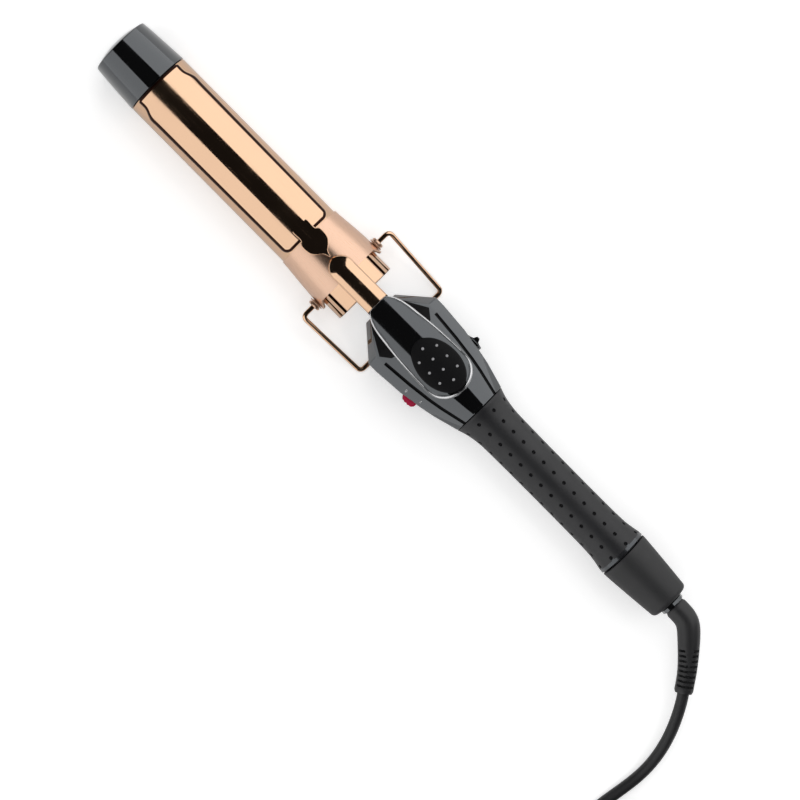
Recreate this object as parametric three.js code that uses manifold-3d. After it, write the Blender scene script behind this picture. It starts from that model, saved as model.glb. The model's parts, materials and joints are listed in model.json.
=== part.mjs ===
// A curling iron with a spring clamp, a fold-out wire stand, a swivel cord and a coiled lead.
//
// Millimetres, +Z up. The tool lies on its belly: X runs from the tip to the cord, Z is up, and the origin is
// under the middle of the tool, on the surface that it lies on. Everything but the cord is built around the
// tool's own axis, in a group that is lifted to the height of that axis.
import * as THREE from "three";
import { mergeVertices } from "three/addons/utils/BufferGeometryUtils.js";
import Module from "manifold-3d";

const wasm = await Module();
wasm.setup();

// ---------------------------------------------------------------- driving dimensions

// Gap between neighbouring pieces, and between pieces that move past each other.
const GAP = 0.3;
const RUNNING_GAP = 0.25;

// Barrel
const BARREL_LENGTH = 132.2;
const BARREL_RADIUS = 16;
const BARREL_WALL = 1.2;
const STEM_GAP = 9.5;
const STEM_RADIUS = 5.5;
const STEM_WALL = 1.2;
const STEM_SOCKET = 10;
const LEAD_WIRE_RADIUS = 0.9;
const END_INSULATOR_LENGTH = 19;

// Tip cap
const CAP_LENGTH = 26.4;
const CAP_DOME = 3.3;
const CAP_RIM_INSET = 1.4;
const CAP_WALL = 1.6;
const CAP_PROUD = 0.15;
const TIP_INSULATOR_IN_BARREL = 5;
const TIP_INSULATOR_IN_CAP = 9;
const TIP_INSULATOR_BORE = 6;

// Heater
const HEATER_CLEARANCE = 0.5;
const HEATER_BAR_WIDTH = 12;
const HEATER_BAR_THICKNESS = 2.4;
const HEATER_BAR_LENGTH = 60;
const HEATER_HALF_LENGTH = 86;
const HEATER_END_ROOM = 6;
const THERMOSTAT_RADIUS = 6;
const THERMOSTAT_LENGTH = 4.5;
const FUSE_RADIUS = 1.6;
const FUSE_LENGTH = 9;

// Hinge of the clamp and the stand
const PIVOT_INSET = 12.4;
const PIN_RADIUS = 2.2;
const PIN_HEAD_RADIUS = 2.9;
const PIN_HEAD_THICKNESS = 1.4;
const PIN_DEPTH = 4;
const WASHER_RADIUS = 3.35;
const WASHER_THICKNESS = 0.6;

// Clamp
const CLAMP_GAP = 0.35;
const BLADE_THICKNESS = 0.8;
const BLADE_REAR_TO_PIVOT = 24.5;
const BLADE_HALF_WIDTH = 13.5;
const BLADE_REAR_HALF_WIDTH = 12.7;
const BLADE_TAB_HALF_WIDTH = 11.8;
const BLADE_TAB_LENGTH = 5;
const BLADE_TAB_STEP = 4.5;
const BLADE_CORNER = 3.5;
const SADDLE_THICKNESS = 0.9;
const SADDLE_FLARE = 0.95;
const SADDLE_BEHIND_PIVOT = 1.2;
const SADDLE_SIDE_DROP = 2;
const EAR_RADIUS = 4.2;
const BOSS_HALF_WIDTH = 5.9;
const BOSS_LENGTH = 13.5;
const BOSS_THICKNESS = 1.5;
const BOSS_TONGUE_LENGTH = 6;
const BOSS_TONGUE_HALF_WIDTH = 4.4;
const RIVET_RADIUS = 1.2;
const RIVET_HEAD = 0.5;
const NECK_HALF_WIDTH = 5.9;
const NECK_HEIGHT = 4.2;
const NECK_NOSE = 9.6;
const NECK_LENGTH = 20.5;
const NECK_WALL = 0.9;
const LEVER_RISE = THREE.MathUtils.degToRad(12);
const LEVER_LENGTH = 55;
const LEVER_HALF_WIDTH = 12.1;
const LEVER_THICKNESS = 3.2;
const LEVER_TONGUE_LENGTH = 24;
const LEVER_TONGUE_HALF_WIDTH = 4.5;
const LEVER_TONGUE_THICKNESS = 1;
const LEVER_TONGUE_DROP = 1.2;
const LEVER_TONGUE_ROOT = 3;
const NECK_BORE_START = 3;
const PAD_LENGTH = 29;
const PAD_HALF_WIDTH = 9.7;
const PAD_THICKNESS = 0.8;
const PAD_RECESS = 0.5;
const PAD_MARGIN = 1.2;
const SPRING_WIDTH = 4.4;
const SPRING_THICKNESS = 0.5;

// Stand
const STAND_WIRE_RADIUS = 1.1;
const STAND_HALF_WIDTH = 27.5;
const STAND_FOOT_HALF_WIDTH = 25.9;
const STAND_CORNER = 2.6;
const STAND_REACH = 35.8;
const CROSSBAR_LEAD_IN = 1.9;

// Housing
const HOUSING_LENGTH = 63.5;
const HOUSING_HALF_WIDTH = 21.2;
const HOUSING_TOP = 13.7;
const HOUSING_WALL = 2;
const FLOOR_CLEARANCE = 1.5;
const BELLY_HALF_WIDTH = 12;
const SCREW_RADIUS = 1.25;
const SCREW_HEAD_RADIUS = 2.6;
const SCREW_HEAD_THICKNESS = 1.5;
const SCREW_LENGTH = 14;
const SCREW_POST_RADIUS = 3.2;
const FRONT_SCREWS_FROM_NOSE = 27;
const SCREW_PITCH = 20;
const SIDE_COMPONENT_DEPTH = 3.2;

// Switch and dial
const SWITCH_FROM_NOSE = 38.3;
const SWITCH_LENGTH = 7.2;
const SWITCH_HEIGHT = 7;
const SWITCH_PROUD = 3;
const SWITCH_TRAVEL = 4;
const SWITCH_TONGUE_LENGTH = 4.4;
const SWITCH_TONGUE_THICKNESS = 2.6;
const SIDE_POCKET_SINK = 3;
const DIAL_FROM_NOSE = 40.3;
const DIAL_RADIUS = 4.3;
const DIAL_FLANGE = 1.5;
const DIAL_FIN_HEIGHT = 2.2;
const DIAL_FIN_THICKNESS = 1.8;
const DIAL_SHAFT_RADIUS = 1.5;

// Grip, rear cone and swivel
const GRIP_LENGTH = 91.4;
const GRIP_FRONT_RADIUS = 13.7;
const GRIP_WAIST_RADIUS = 10.65;
const GRIP_REAR_RADIUS = 12.45;
const CORE_RADIUS = 8;
const CORE_WALL = 1.6;
const CORE_ENGAGEMENT = 7;
const GROOVE = 0.9;
const CONE_LENGTH = 30.2;
const CONE_FRONT_RADIUS = 12.4;
const CONE_REAR_RADIUS = 10.1;
const CONE_WALL = 2;
const COLLAR_LENGTH = 2.1;
const COLLAR_RADIUS = 5.9;
const SPINDLE_RADIUS = 3.2;
const SPINDLE_FLANGE_RADIUS = 4.6;
const SPINDLE_LENGTH = 21;
const SPINDLE_BORE = 1.4;
const CONTACT_RING_THICKNESS = 0.8;
const CONTACT_RING_WIDTH = 2.4;

// Cord, coil and plug
const CORD_RADIUS = 2.75;
const RELIEF_FRONT_RADIUS = 5.4;
const RELIEF_REAR_RADIUS = 4.35;
const COIL_TURN_RADIUS = 31;
const COIL_COLUMNS = 3;
const COIL_LAYERS = 3;
const COIL_LIFT = 1.3;
const TIE_WIDTH = 11;
const TIE_THICKNESS = 1;
const PLUG_LENGTH = 26;
const PLUG_WIDTH = 24;
const PLUG_THICKNESS = 13;
const PLUG_RELIEF_LENGTH = 16;
const PLUG_RELIEF_RADIUS = 4.6;
const PLUG_BLADE_LENGTH = 16;
const PLUG_BLADE_WIDTH = 6.3;
const PLUG_BLADE_THICKNESS = 1.5;
const PLUG_BLADE_SPACING = 12.7;

// Facets around a large round piece, a small one and a wire.
const FINE = 36;
const COARSE = 18;
const WIRE_SIDES = 8;
const CORD_SIDES = 10;

// ---------------------------------------------------------------- stations worked out from those

const TOTAL_LENGTH =
  CAP_LENGTH + BARREL_LENGTH + STEM_GAP + HOUSING_LENGTH + GRIP_LENGTH + GROOVE + CONE_LENGTH + COLLAR_LENGTH;
const X_TIP = -TOTAL_LENGTH / 2;
const X_SEAM = X_TIP + CAP_LENGTH;
const X_BARREL_REAR = X_SEAM + BARREL_LENGTH;
const X_PIVOT = X_BARREL_REAR - PIVOT_INSET;
const X_NOSE = X_BARREL_REAR + STEM_GAP;
const X_GRIP = X_NOSE + HOUSING_LENGTH;
const X_GRIP_REAR = X_GRIP + GRIP_LENGTH;
const X_CONE = X_GRIP_REAR + GROOVE;
const X_CONE_REAR = X_CONE + CONE_LENGTH;
const X_EXIT = X_CONE_REAR + COLLAR_LENGTH;

const BARREL_BORE = BARREL_RADIUS - BARREL_WALL;
const BELLY_DEPTH = BARREL_RADIUS + FLOOR_CLEARANCE;
const AXIS_HEIGHT = BELLY_DEPTH;
const BLADE_INNER = BARREL_RADIUS + CLAMP_GAP;
const BLADE_OUTER = BLADE_INNER + BLADE_THICKNESS;
const SADDLE_INNER_AT_PIVOT = BLADE_INNER + SADDLE_FLARE;
const SADDLE_OUTER_AT_PIVOT = SADDLE_INNER_AT_PIVOT + SADDLE_THICKNESS;
const X_BLADE_REAR = X_PIVOT - BLADE_REAR_TO_PIVOT;
const X_SADDLE = X_BLADE_REAR + 3 * GAP;
const SADDLE_LENGTH = X_PIVOT - X_SADDLE;
const WASHER_Y = SADDLE_OUTER_AT_PIVOT + GAP;
const HEAD_Y = WASHER_Y + WASHER_THICKNESS + GAP;
const WIRE_END_Y = WASHER_Y + GAP;
const LEVER_HEIGHT = SADDLE_OUTER_AT_PIVOT + GAP;
const X_SWITCH = X_NOSE + SWITCH_FROM_NOSE;
const X_DIAL = X_NOSE + DIAL_FROM_NOSE;
const X_CROSSBAR = X_PIVOT + STAND_REACH;
const CROSSBAR_DEPTH = BELLY_DEPTH - STAND_WIRE_RADIUS - GAP;
const CORE_BORE = CORE_RADIUS - CORE_WALL;
const SIDE_POCKET_Y = HOUSING_HALF_WIDTH - SIDE_POCKET_SINK;
const SIDE_ROOM_Y = SIDE_POCKET_Y - HOUSING_WALL - 3 * GAP;
const SIDE_ROOM_INNER_Y = SIDE_ROOM_Y - SIDE_COMPONENT_DEPTH;
const SCREW_SPREAD = SIDE_ROOM_INNER_Y - SCREW_POST_RADIUS - GAP;

// ---------------------------------------------------------------- materials

const finish = (color, roughness, metalness) =>
  new THREE.MeshStandardMaterial({ color, roughness, metalness });
const roseGold = () => finish(0xe3b08f, 0.16, 1);
const roseGoldSatin = () => finish(0xd9ad94, 0.34, 1);
const glossBlack = () => finish(0x0c0c0e, 0.08, 0);
const rubber = () => finish(0x333437, 0.75, 0);
const satinBlack = () => finish(0x2a2a2c, 0.5, 0);
const redPlastic = () => finish(0xa31434, 0.3, 0);
const steel = () => finish(0xb7b9bc, 0.3, 1);
const aluminium = () => finish(0xc4c6c8, 0.4, 1);
const brass = () => finish(0xc9a458, 0.3, 1);
const ceramic = () => finish(0xe9e4da, 0.6, 0);
const board = () => finish(0x1f5a38, 0.5, 0);
const cordRubber = () => finish(0x17171a, 0.55, 0);

// ---------------------------------------------------------------- geometry helpers

// A closed geometry as a solid that can be cut and joined. Collapsed triangles, as at a lathe's pole, are
// dropped.
function solid(geometry) {
  const bare = geometry.index ? geometry.toNonIndexed() : geometry.clone();
  bare.deleteAttribute("normal");
  bare.deleteAttribute("uv");
  const merged = mergeVertices(bare, 1e-4);
  const corners = [];
  const index = merged.index.array;
  for (let i = 0; i < index.length; i += 3) {
    const [a, b, c] = [index[i], index[i + 1], index[i + 2]];
    if (a !== b && b !== c && c !== a) corners.push(a, b, c);
  }
  const made = new wasm.Manifold(
    new wasm.Mesh({
      numProp: 3,
      vertProperties: merged.attributes.position.array,
      triVerts: new Uint32Array(corners),
    }),
  );
  if (made.volume() < 0) throw new Error("a shape is inside out");
  return made;
}

function geometryOf(shape) {
  const mesh = shape.getMesh();
  const geometry = new THREE.BufferGeometry();
  geometry.setAttribute("position", new THREE.BufferAttribute(new Float32Array(mesh.vertProperties), 3));
  geometry.setIndex(new THREE.BufferAttribute(new Uint32Array(mesh.triVerts), 1));
  return geometry.toNonIndexed();
}

const signedArea = (points) => THREE.ShapeUtils.area(points.map(([x, y]) => new THREE.Vector2(x, y)));

// A solid of revolution about X. The outline is [x, radius] points. It starts and ends on the axis, or goes
// round a wall and is closed here.
function revolved(outline, segments = FINE) {
  const onAxis = outline[0][1] === 0 && outline.at(-1)[1] === 0;
  const closed = onAxis ? outline : [...outline, outline[0]];
  const turned = closed.map(([x, r]) => [r, x]);
  const ordered = signedArea(turned) < 0 ? turned.reverse() : turned;
  const points = ordered.map(([r, x]) => new THREE.Vector2(r, x));
  const geometry = new THREE.LatheGeometry(points, segments);
  geometry.rotateZ(-Math.PI / 2);
  return solid(geometry);
}

// A ring or tube about X, between two radii.
const tube = (x0, x1, outer, inner, segments = FINE) =>
  revolved([[x0, inner], [x0, outer], [x1, outer], [x1, inner]], segments);

const rod = (x0, x1, radius, segments = COARSE) =>
  revolved([[x0, 0], [x0, radius], [x1, radius], [x1, 0]], segments);

const shapeOf = (points) => new THREE.Shape(points.map(([x, y]) => new THREE.Vector2(x, y)));

const extruded = (points, depth) =>
  new THREE.ExtrudeGeometry(shapeOf(points), { depth, bevelEnabled: false });

// Prisms along each axis. The outline's two coordinates are (y, z), (x, z) and (x, y).
function prismX(points, x0, x1) {
  const geometry = extruded(points, x1 - x0);
  geometry.rotateX(Math.PI / 2);
  geometry.rotateZ(Math.PI / 2);
  return solid(geometry.translate(x0, 0, 0));
}

function prismY(points, y0, y1) {
  const geometry = extruded(points, y1 - y0);
  geometry.rotateX(Math.PI / 2);
  return solid(geometry.translate(0, y1, 0));
}

function prismZ(points, z0, z1) {
  return solid(extruded(points, z1 - z0).translate(0, 0, z0));
}

// A box from its lowest and highest corners.
function block([x0, y0, z0], [x1, y1, z1]) {
  const geometry = new THREE.BoxGeometry(x1 - x0, y1 - y0, z1 - z0);
  return solid(geometry.translate((x0 + x1) / 2, (y0 + y1) / 2, (z0 + z1) / 2));
}

// A cylinder along Y or Z through (a, b): (x, z) for Y and (x, y) for Z.
function rodY(y0, y1, radius, [x, z], segments = COARSE) {
  const geometry = new THREE.CylinderGeometry(radius, radius, y1 - y0, segments);
  return solid(geometry.translate(x, (y0 + y1) / 2, z));
}

function rodZ(z0, z1, radius, [x, y], segments = COARSE) {
  const geometry = new THREE.CylinderGeometry(radius, radius, z1 - z0, segments);
  geometry.rotateX(Math.PI / 2);
  return solid(geometry.translate(x, y, (z0 + z1) / 2));
}

// Points along an arc about (cx, cy), from one angle to another.
function arc(cx, cy, radius, from, to, steps) {
  return Array.from({ length: steps + 1 }, (_, i) => {
    const angle = from + ((to - from) * i) / steps;
    return [cx + radius * Math.cos(angle), cy + radius * Math.sin(angle)];
  });
}

const circle = (radius, sides) => arc(0, 0, radius, 0, 2 * Math.PI * (1 - 1 / sides), sides - 1);

// An outline given by its upper half, from left to right, mirrored about the first coordinate.
const mirrored = (half) => [...half, ...half.map(([x, y]) => [x, -y]).reverse()];

// A path that gives an extrusion one ring at each of its own points, however far apart they are.
class RingPath extends THREE.Curve {
  constructor(points) {
    super();
    this.points = points;
  }

  getUtoTmapping(u) {
    return u;
  }

  getPoint(t, target = new THREE.Vector3()) {
    const place = t * (this.points.length - 1);
    const before = Math.min(Math.floor(place), this.points.length - 2);
    return target.copy(this.points[before]).lerp(this.points[before + 1], place - before);
  }

  getTangent(t, target = new THREE.Vector3()) {
    const place = Math.round(t * (this.points.length - 1));
    const before = this.points[Math.max(place - 1, 0)];
    const after = this.points[Math.min(place + 1, this.points.length - 1)];
    return target.subVectors(after, before).normalize();
  }
}

// A section swept along a list of points.
function swept(section, points) {
  const path = new RingPath(points);
  const options = { steps: points.length - 1, extrudePath: path, bevelEnabled: false };
  return solid(new THREE.ExtrudeGeometry(shapeOf(section), options));
}

// A polyline with each inner corner rounded. Arcs take `steps` chords.
function rounded(corners, radius, steps) {
  const out = [corners[0]];
  for (let i = 1; i < corners.length - 1; i++) {
    const into = corners[i].clone().sub(corners[i - 1]).normalize();
    const away = corners[i + 1].clone().sub(corners[i]).normalize();
    const cut = radius * Math.tan(into.angleTo(away) / 2);
    const start = corners[i].clone().addScaledVector(into, -cut);
    const end = corners[i].clone().addScaledVector(away, cut);
    const bend = new THREE.QuadraticBezierCurve3(start, corners[i], end);
    out.push(...bend.getPoints(steps));
  }
  out.push(corners.at(-1));
  return out;
}

const at = (x, y, z) => new THREE.Vector3(x, y, z);

// Moves a ring-by-ring shape built along X, from 0 to its length, onto a path, as a bend does.
function bentAlong(shape, length, path) {
  const geometry = geometryOf(shape);
  const position = geometry.getAttribute("position");
  const side = new THREE.Vector3();
  const up = new THREE.Vector3();
  for (let i = 0; i < position.count; i++) {
    const u = THREE.MathUtils.clamp(position.getX(i) / length, 0, 1);
    const tangent = path.getTangentAt(u);
    side.crossVectors(at(0, 0, 1), tangent).normalize();
    up.crossVectors(tangent, side).normalize();
    const point = path.getPointAt(u);
    point.addScaledVector(side, position.getY(i)).addScaledVector(up, position.getZ(i));
    position.setXYZ(i, point.x, point.y, point.z);
  }
  return solid(geometry);
}

// ---------------------------------------------------------------- barrel and tip

function tipCap() {
  const rimX = X_TIP + CAP_DOME;
  const rimR = BARREL_RADIUS - CAP_RIM_INSET;
  const seamR = BARREL_RADIUS + CAP_PROUD;
  const end = X_SEAM - GAP / 2;
  return revolved([
    [X_TIP, 0],
    [X_TIP + 0.15 * CAP_DOME, 0.35 * rimR],
    [X_TIP + 0.5 * CAP_DOME, 0.75 * rimR],
    [rimX, rimR],
    [end, seamR],
    [end, seamR - CAP_WALL],
    [rimX + CAP_WALL, rimR - CAP_WALL],
    [X_TIP + 0.5 * CAP_DOME + CAP_WALL, 0.7 * rimR],
    [X_TIP + 0.15 * CAP_DOME + CAP_WALL, 0],
  ]);
}

// The cap's taper from its seam to its rim gives the room at any place inside it.
function tipInsulator() {
  const inCap = BARREL_RADIUS - CAP_RIM_INSET - CAP_WALL - GAP;
  const inBarrel = BARREL_BORE - GAP;
  return revolved([
    [X_SEAM - TIP_INSULATOR_IN_CAP, TIP_INSULATOR_BORE],
    [X_SEAM - TIP_INSULATOR_IN_CAP, inCap],
    [X_SEAM, inCap],
    [X_SEAM, inBarrel],
    [X_SEAM + TIP_INSULATOR_IN_BARREL, inBarrel],
    [X_SEAM + TIP_INSULATOR_IN_BARREL, TIP_INSULATOR_BORE],
  ]);
}

const pinHole = (radius) => rodY(-2 * BARREL_RADIUS, 2 * BARREL_RADIUS, radius, [X_PIVOT, 0]);

function barrelTube() {
  const shell = tube(X_SEAM + GAP / 2, X_BARREL_REAR, BARREL_RADIUS, BARREL_BORE);
  return shell.subtract(pinHole(PIN_RADIUS + GAP));
}

const X_HEATER = X_SEAM + TIP_INSULATOR_IN_BARREL + HEATER_END_ROOM;

// One aluminium half of the heater: a D section, flat against the heating bar.
function heaterHalf(side) {
  const radius = BARREL_BORE - HEATER_CLEARANCE;
  const flat = HEATER_BAR_THICKNESS / 2 + GAP;
  const start = Math.asin(flat / radius);
  const half = arc(0, 0, radius, start, Math.PI - start, COARSE);
  const section = half.map(([y, z]) => [y * side, z * side]);
  return prismX(section, X_HEATER, X_HEATER + HEATER_HALF_LENGTH);
}

function heatingBar() {
  const middle = X_HEATER + HEATER_HALF_LENGTH / 2;
  return block(
    [middle - HEATER_BAR_LENGTH / 2, -HEATER_BAR_WIDTH / 2, -HEATER_BAR_THICKNESS / 2],
    [middle + HEATER_BAR_LENGTH / 2, HEATER_BAR_WIDTH / 2, HEATER_BAR_THICKNESS / 2],
  );
}

const X_HEATER_END = X_HEATER + HEATER_HALF_LENGTH;
const X_INSULATOR = X_BARREL_REAR - END_INSULATOR_LENGTH;

const thermostat = () => rod(X_HEATER_END + GAP, X_HEATER_END + GAP + THERMOSTAT_LENGTH, THERMOSTAT_RADIUS);

// The fuse lies in the space beside the thermostat, across the barrel.
function thermalFuse() {
  const x = X_HEATER_END + GAP + FUSE_RADIUS;
  const z = -(THERMOSTAT_RADIUS + FUSE_RADIUS + GAP);
  return rodY(-FUSE_LENGTH / 2, FUSE_LENGTH / 2, FUSE_RADIUS, [x, z]);
}

// The insulator that closes the barrel's rear end, holds the stem and carries both hinge pins.
function endInsulator() {
  const stemBore = STEM_RADIUS + GAP;
  const wireBore = STEM_RADIUS - STEM_WALL;
  const stemX = X_PIVOT + PIN_RADIUS + 2 * GAP;
  const inside = BARREL_BORE - GAP;
  const sleeve = revolved([
    [X_INSULATOR, wireBore],
    [X_INSULATOR, inside],
    [X_BARREL_REAR - GAP, inside],
    [X_BARREL_REAR - GAP, stemBore],
    [stemX, stemBore],
    [stemX, wireBore],
  ]);
  const pinBore = PIN_RADIUS + GAP;
  const left = rodY(PIN_INNER, BARREL_RADIUS, pinBore, [X_PIVOT, 0]);
  const right = rodY(-BARREL_RADIUS, -PIN_INNER, pinBore, [X_PIVOT, 0]);
  return sleeve.subtract(left).subtract(right);
}

const PIN_INNER = BARREL_BORE - PIN_DEPTH - GAP;

const stem = () =>
  tube(X_PIVOT + PIN_RADIUS + 3 * GAP, X_NOSE + STEM_SOCKET, STEM_RADIUS, STEM_RADIUS - STEM_WALL, COARSE);

// ---------------------------------------------------------------- hinge

// A pin with a head outside the washer, hollow at its outer end for the stand's wire.
function hingePin(side) {
  const inner = PIN_INNER + GAP;
  const outer = HEAD_Y + PIN_HEAD_THICKNESS;
  const bore = STAND_WIRE_RADIUS + RUNNING_GAP;
  const floor = WIRE_END_Y - GAP;
  const outline = [
    [inner, 0],
    [inner, PIN_RADIUS],
    [HEAD_Y, PIN_RADIUS],
    [HEAD_Y, PIN_HEAD_RADIUS],
    [outer, PIN_HEAD_RADIUS],
    [outer, bore],
    [floor, bore],
    [floor, 0],
  ];
  return placedOnSide(revolved(outline, COARSE), side);
}

// Turns a piece built along X so that it points out along +Y or -Y at the hinge.
function placedOnSide(shape, side) {
  const geometry = geometryOf(shape);
  geometry.rotateZ((side * Math.PI) / 2);
  return solid(geometry.translate(X_PIVOT, 0, 0));
}

function washer(side) {
  const bore = PIN_RADIUS + RUNNING_GAP;
  return placedOnSide(tube(WASHER_Y, WASHER_Y + WASHER_THICKNESS, WASHER_RADIUS, bore, COARSE), side);
}

// ---------------------------------------------------------------- clamp

// A strip of tube over the barrel, cut to the blade's outline.
function clampBlade() {
  const spread = Math.asin((BLADE_HALF_WIDTH + 1) / BLADE_INNER);
  const band = [
    ...arc(0, 0, BLADE_OUTER, Math.PI / 2 - spread, Math.PI / 2 + spread, COARSE),
    ...arc(0, 0, BLADE_INNER, Math.PI / 2 + spread, Math.PI / 2 - spread, COARSE),
  ];
  const x0 = X_SEAM + GAP;
  const x1 = X_BLADE_REAR;
  const tab = x0 + BLADE_TAB_LENGTH;
  const rear = BLADE_REAR_HALF_WIDTH;
  const outline = mirrored([
    [x0, BLADE_TAB_HALF_WIDTH - 1],
    [x0 + 1, BLADE_TAB_HALF_WIDTH],
    [tab, BLADE_TAB_HALF_WIDTH],
    [tab + BLADE_TAB_STEP, BLADE_HALF_WIDTH],
    [x1 - BLADE_CORNER, rear],
    ...arc(x1 - BLADE_CORNER, rear - BLADE_CORNER, BLADE_CORNER, Math.PI / 2, 0, 4).slice(1),
  ]);
  const cut = prismZ(outline, 0, 2 * BARREL_RADIUS);
  return prismX(band, x0, x1).intersect(cut);
}

// The radius of the saddle's inside, a cone that opens towards the pivot.
const saddleInner = (x) => BLADE_INNER + (SADDLE_FLARE * (x - X_SADDLE)) / SADDLE_LENGTH;

function saddleCone(grow, extra) {
  const x0 = X_SADDLE - extra;
  const x1 = X_PIVOT + EAR_RADIUS + extra;
  return [
    [x0, saddleInner(x0) + grow],
    [x1, saddleInner(x1) + grow],
  ];
}

// The plate that hugs the barrel behind the blade, with an ear down each side for the hinge pin.
function clampSaddle() {
  const wall = [...saddleCone(SADDLE_THICKNESS, 0), ...saddleCone(0, 0).reverse()];
  const top = 2 * BARREL_RADIUS;
  const rear = X_PIVOT + SADDLE_BEHIND_PIVOT;
  const side = [
    [X_SADDLE, top],
    [X_SADDLE, SADDLE_SIDE_DROP],
    [X_PIVOT - EAR_RADIUS - 3, SADDLE_SIDE_DROP],
    ...arc(X_PIVOT, 0, EAR_RADIUS, Math.PI, 2 * Math.PI, 8),
    [X_PIVOT + EAR_RADIUS, EAR_RADIUS],
    [rear, 2 * EAR_RADIUS],
    [rear, top],
  ];
  const outline = prismY(side, -top, top);
  return revolved(wall).intersect(outline).subtract(pinHole(PIN_RADIUS + RUNNING_GAP));
}

// The pointed boss behind the blade. Its tongue lies over the blade, and its point aims at the lever's neck.
function bladeBoss() {
  const start = X_SADDLE;
  const end = start + BOSS_LENGTH;
  const outline = mirrored([
    [start - BOSS_TONGUE_LENGTH, BOSS_TONGUE_HALF_WIDTH],
    [start - GAP, BOSS_TONGUE_HALF_WIDTH],
    [start + 1.2, BOSS_HALF_WIDTH],
    [start + 6.2, BOSS_HALF_WIDTH - 0.3],
    [start + 8.6, BOSS_HALF_WIDTH - 2.1],
    [start + 10.6, 1.4],
    [end, 0.25],
  ]);
  const inside = [
    [start - BOSS_TONGUE_LENGTH - 1, BLADE_OUTER + GAP],
    [start - GAP, BLADE_OUTER + GAP],
    [end + 1, saddleInner(end + 1) + SADDLE_THICKNESS + GAP],
  ];
  const outside = inside.map(([x, r]) => [x, r + BOSS_THICKNESS]).reverse();
  return revolved([...inside, ...outside]).intersect(prismZ(outline, 0, 2 * BARREL_RADIUS));
}

// A rivet stands through the boss on the blade or on the saddle, with a low head.
function bossRivetHole(x, radius) {
  return rodZ(0, 3 * BARREL_RADIUS, radius, [x, 0], 12);
}

function bossRivet(x) {
  const foot = BLADE_OUTER + 1.5 * GAP;
  const head = saddleInner(x) + SADDLE_THICKNESS + GAP + BOSS_THICKNESS + GAP;
  const shank = rodZ(foot, head, RIVET_RADIUS - GAP, [x, 0], 12);
  const cap = rodZ(head, head + RIVET_HEAD, RIVET_RADIUS, [x, 0], 12);
  return shank.add(cap);
}

// The lever is built in a frame of its own: u along it from above the pivot, z up from its underside.
const leverPoint = (u, z) => {
  const c = Math.cos(LEVER_RISE);
  const s = Math.sin(LEVER_RISE);
  return [X_PIVOT + u * c - z * s, LEVER_HEIGHT + u * s + z * c];
};

// Brings a piece of the lever's own frame back to the tool's frame.
function raised(shape) {
  const geometry = geometryOf(shape);
  geometry.rotateY(-LEVER_RISE);
  return solid(geometry.translate(X_PIVOT, 0, LEVER_HEIGHT));
}

const archSection = (halfWidth, height) => [
  [halfWidth, -0.01],
  ...arc(0, 0, 1, 0, Math.PI, 12).map(([y, z]) => [y * halfWidth, 0.35 * height + z * 0.65 * height]),
  [-halfWidth, -0.01],
];

// The neck: a rounded channel that rises from the saddle, with a bullet nose, and a flat tongue that reaches
// under the lever.
function leverNeck() {
  const nose = -NECK_NOSE;
  const outline = mirrored([
    [nose, 0.4],
    [nose + 0.9, 2.4],
    [nose + 3.2, 4.7],
    [nose + 6.4, NECK_HALF_WIDTH],
    [NECK_LENGTH, NECK_HALF_WIDTH],
  ]);
  const above = 3 * NECK_HEIGHT;
  const full = prismX(archSection(NECK_HALF_WIDTH, NECK_HEIGHT), nose - 1, NECK_LENGTH);
  const below = -2 * NECK_HALF_WIDTH;
  const profile = [
    [nose, below],
    [NECK_LENGTH, below],
    [NECK_LENGTH, above],
    [nose + 10, NECK_HEIGHT + 0.1],
    [nose + 5, NECK_HEIGHT - 0.5],
    [nose + 1.6, NECK_HEIGHT - 1.1],
    [nose, NECK_HEIGHT - 2.2],
  ];
  const bar = full.intersect(prismZ(outline, -above, above)).intersect(prismY(profile, -above, above));
  const roof = NECK_HEIGHT - NECK_WALL;
  const bore = prismX(archSection(NECK_HALF_WIDTH - NECK_WALL, roof), NECK_BORE_START, NECK_LENGTH + 1);
  const tongueFloor = roof - LEVER_TONGUE_DROP - LEVER_TONGUE_THICKNESS;
  const root = NECK_LENGTH - LEVER_TONGUE_ROOT;
  const tongue = block(
    [root, -LEVER_TONGUE_HALF_WIDTH, tongueFloor],
    [NECK_LENGTH + LEVER_TONGUE_LENGTH, LEVER_TONGUE_HALF_WIDTH, tongueFloor + LEVER_TONGUE_THICKNESS],
  );
  const plug = block([root, -above, tongueFloor], [NECK_LENGTH + 2, above, above]);
  const channel = bar.subtract(bore.subtract(plug));
  const reach = 2 * BARREL_RADIUS;
  const cone = revolved([
    ...saddleCone(SADDLE_THICKNESS + GAP, reach),
    [X_PIVOT + reach, 0],
    [X_SADDLE - reach, 0],
  ]);
  return raised(channel.add(tongue)).subtract(cone);
}

const LEVER_START = NECK_LENGTH + GAP;
const LEVER_BASE = NECK_HEIGHT - NECK_WALL - LEVER_TONGUE_DROP + GAP;
const LEVER_TOP = LEVER_BASE + LEVER_THICKNESS;

// The teardrop outline of the thumb lever, inset all round by a distance.
function leverOutline(inset) {
  const start = LEVER_START + inset;
  const end = LEVER_START + LEVER_LENGTH - inset;
  const w = LEVER_HALF_WIDTH - inset;
  const rear = arc(end - w, 0, w, Math.PI / 2, 0, 8);
  return mirrored([
    [start, 4.6 - inset / 2],
    [start + 1.4, 6.3 - inset / 2],
    [start + 4.8, 8.3 - inset],
    [start + 10, 9.5 - inset],
    [start + 16.5, 10.3 - inset],
    [start + 25.5, 11.3 - inset],
    [start + 35, w - 0.25],
    ...rear.slice(0, -1),
    [end, 0.5],
  ]);
}

const PAD_START = LEVER_START + LEVER_LENGTH - PAD_LENGTH - PAD_MARGIN;

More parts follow.
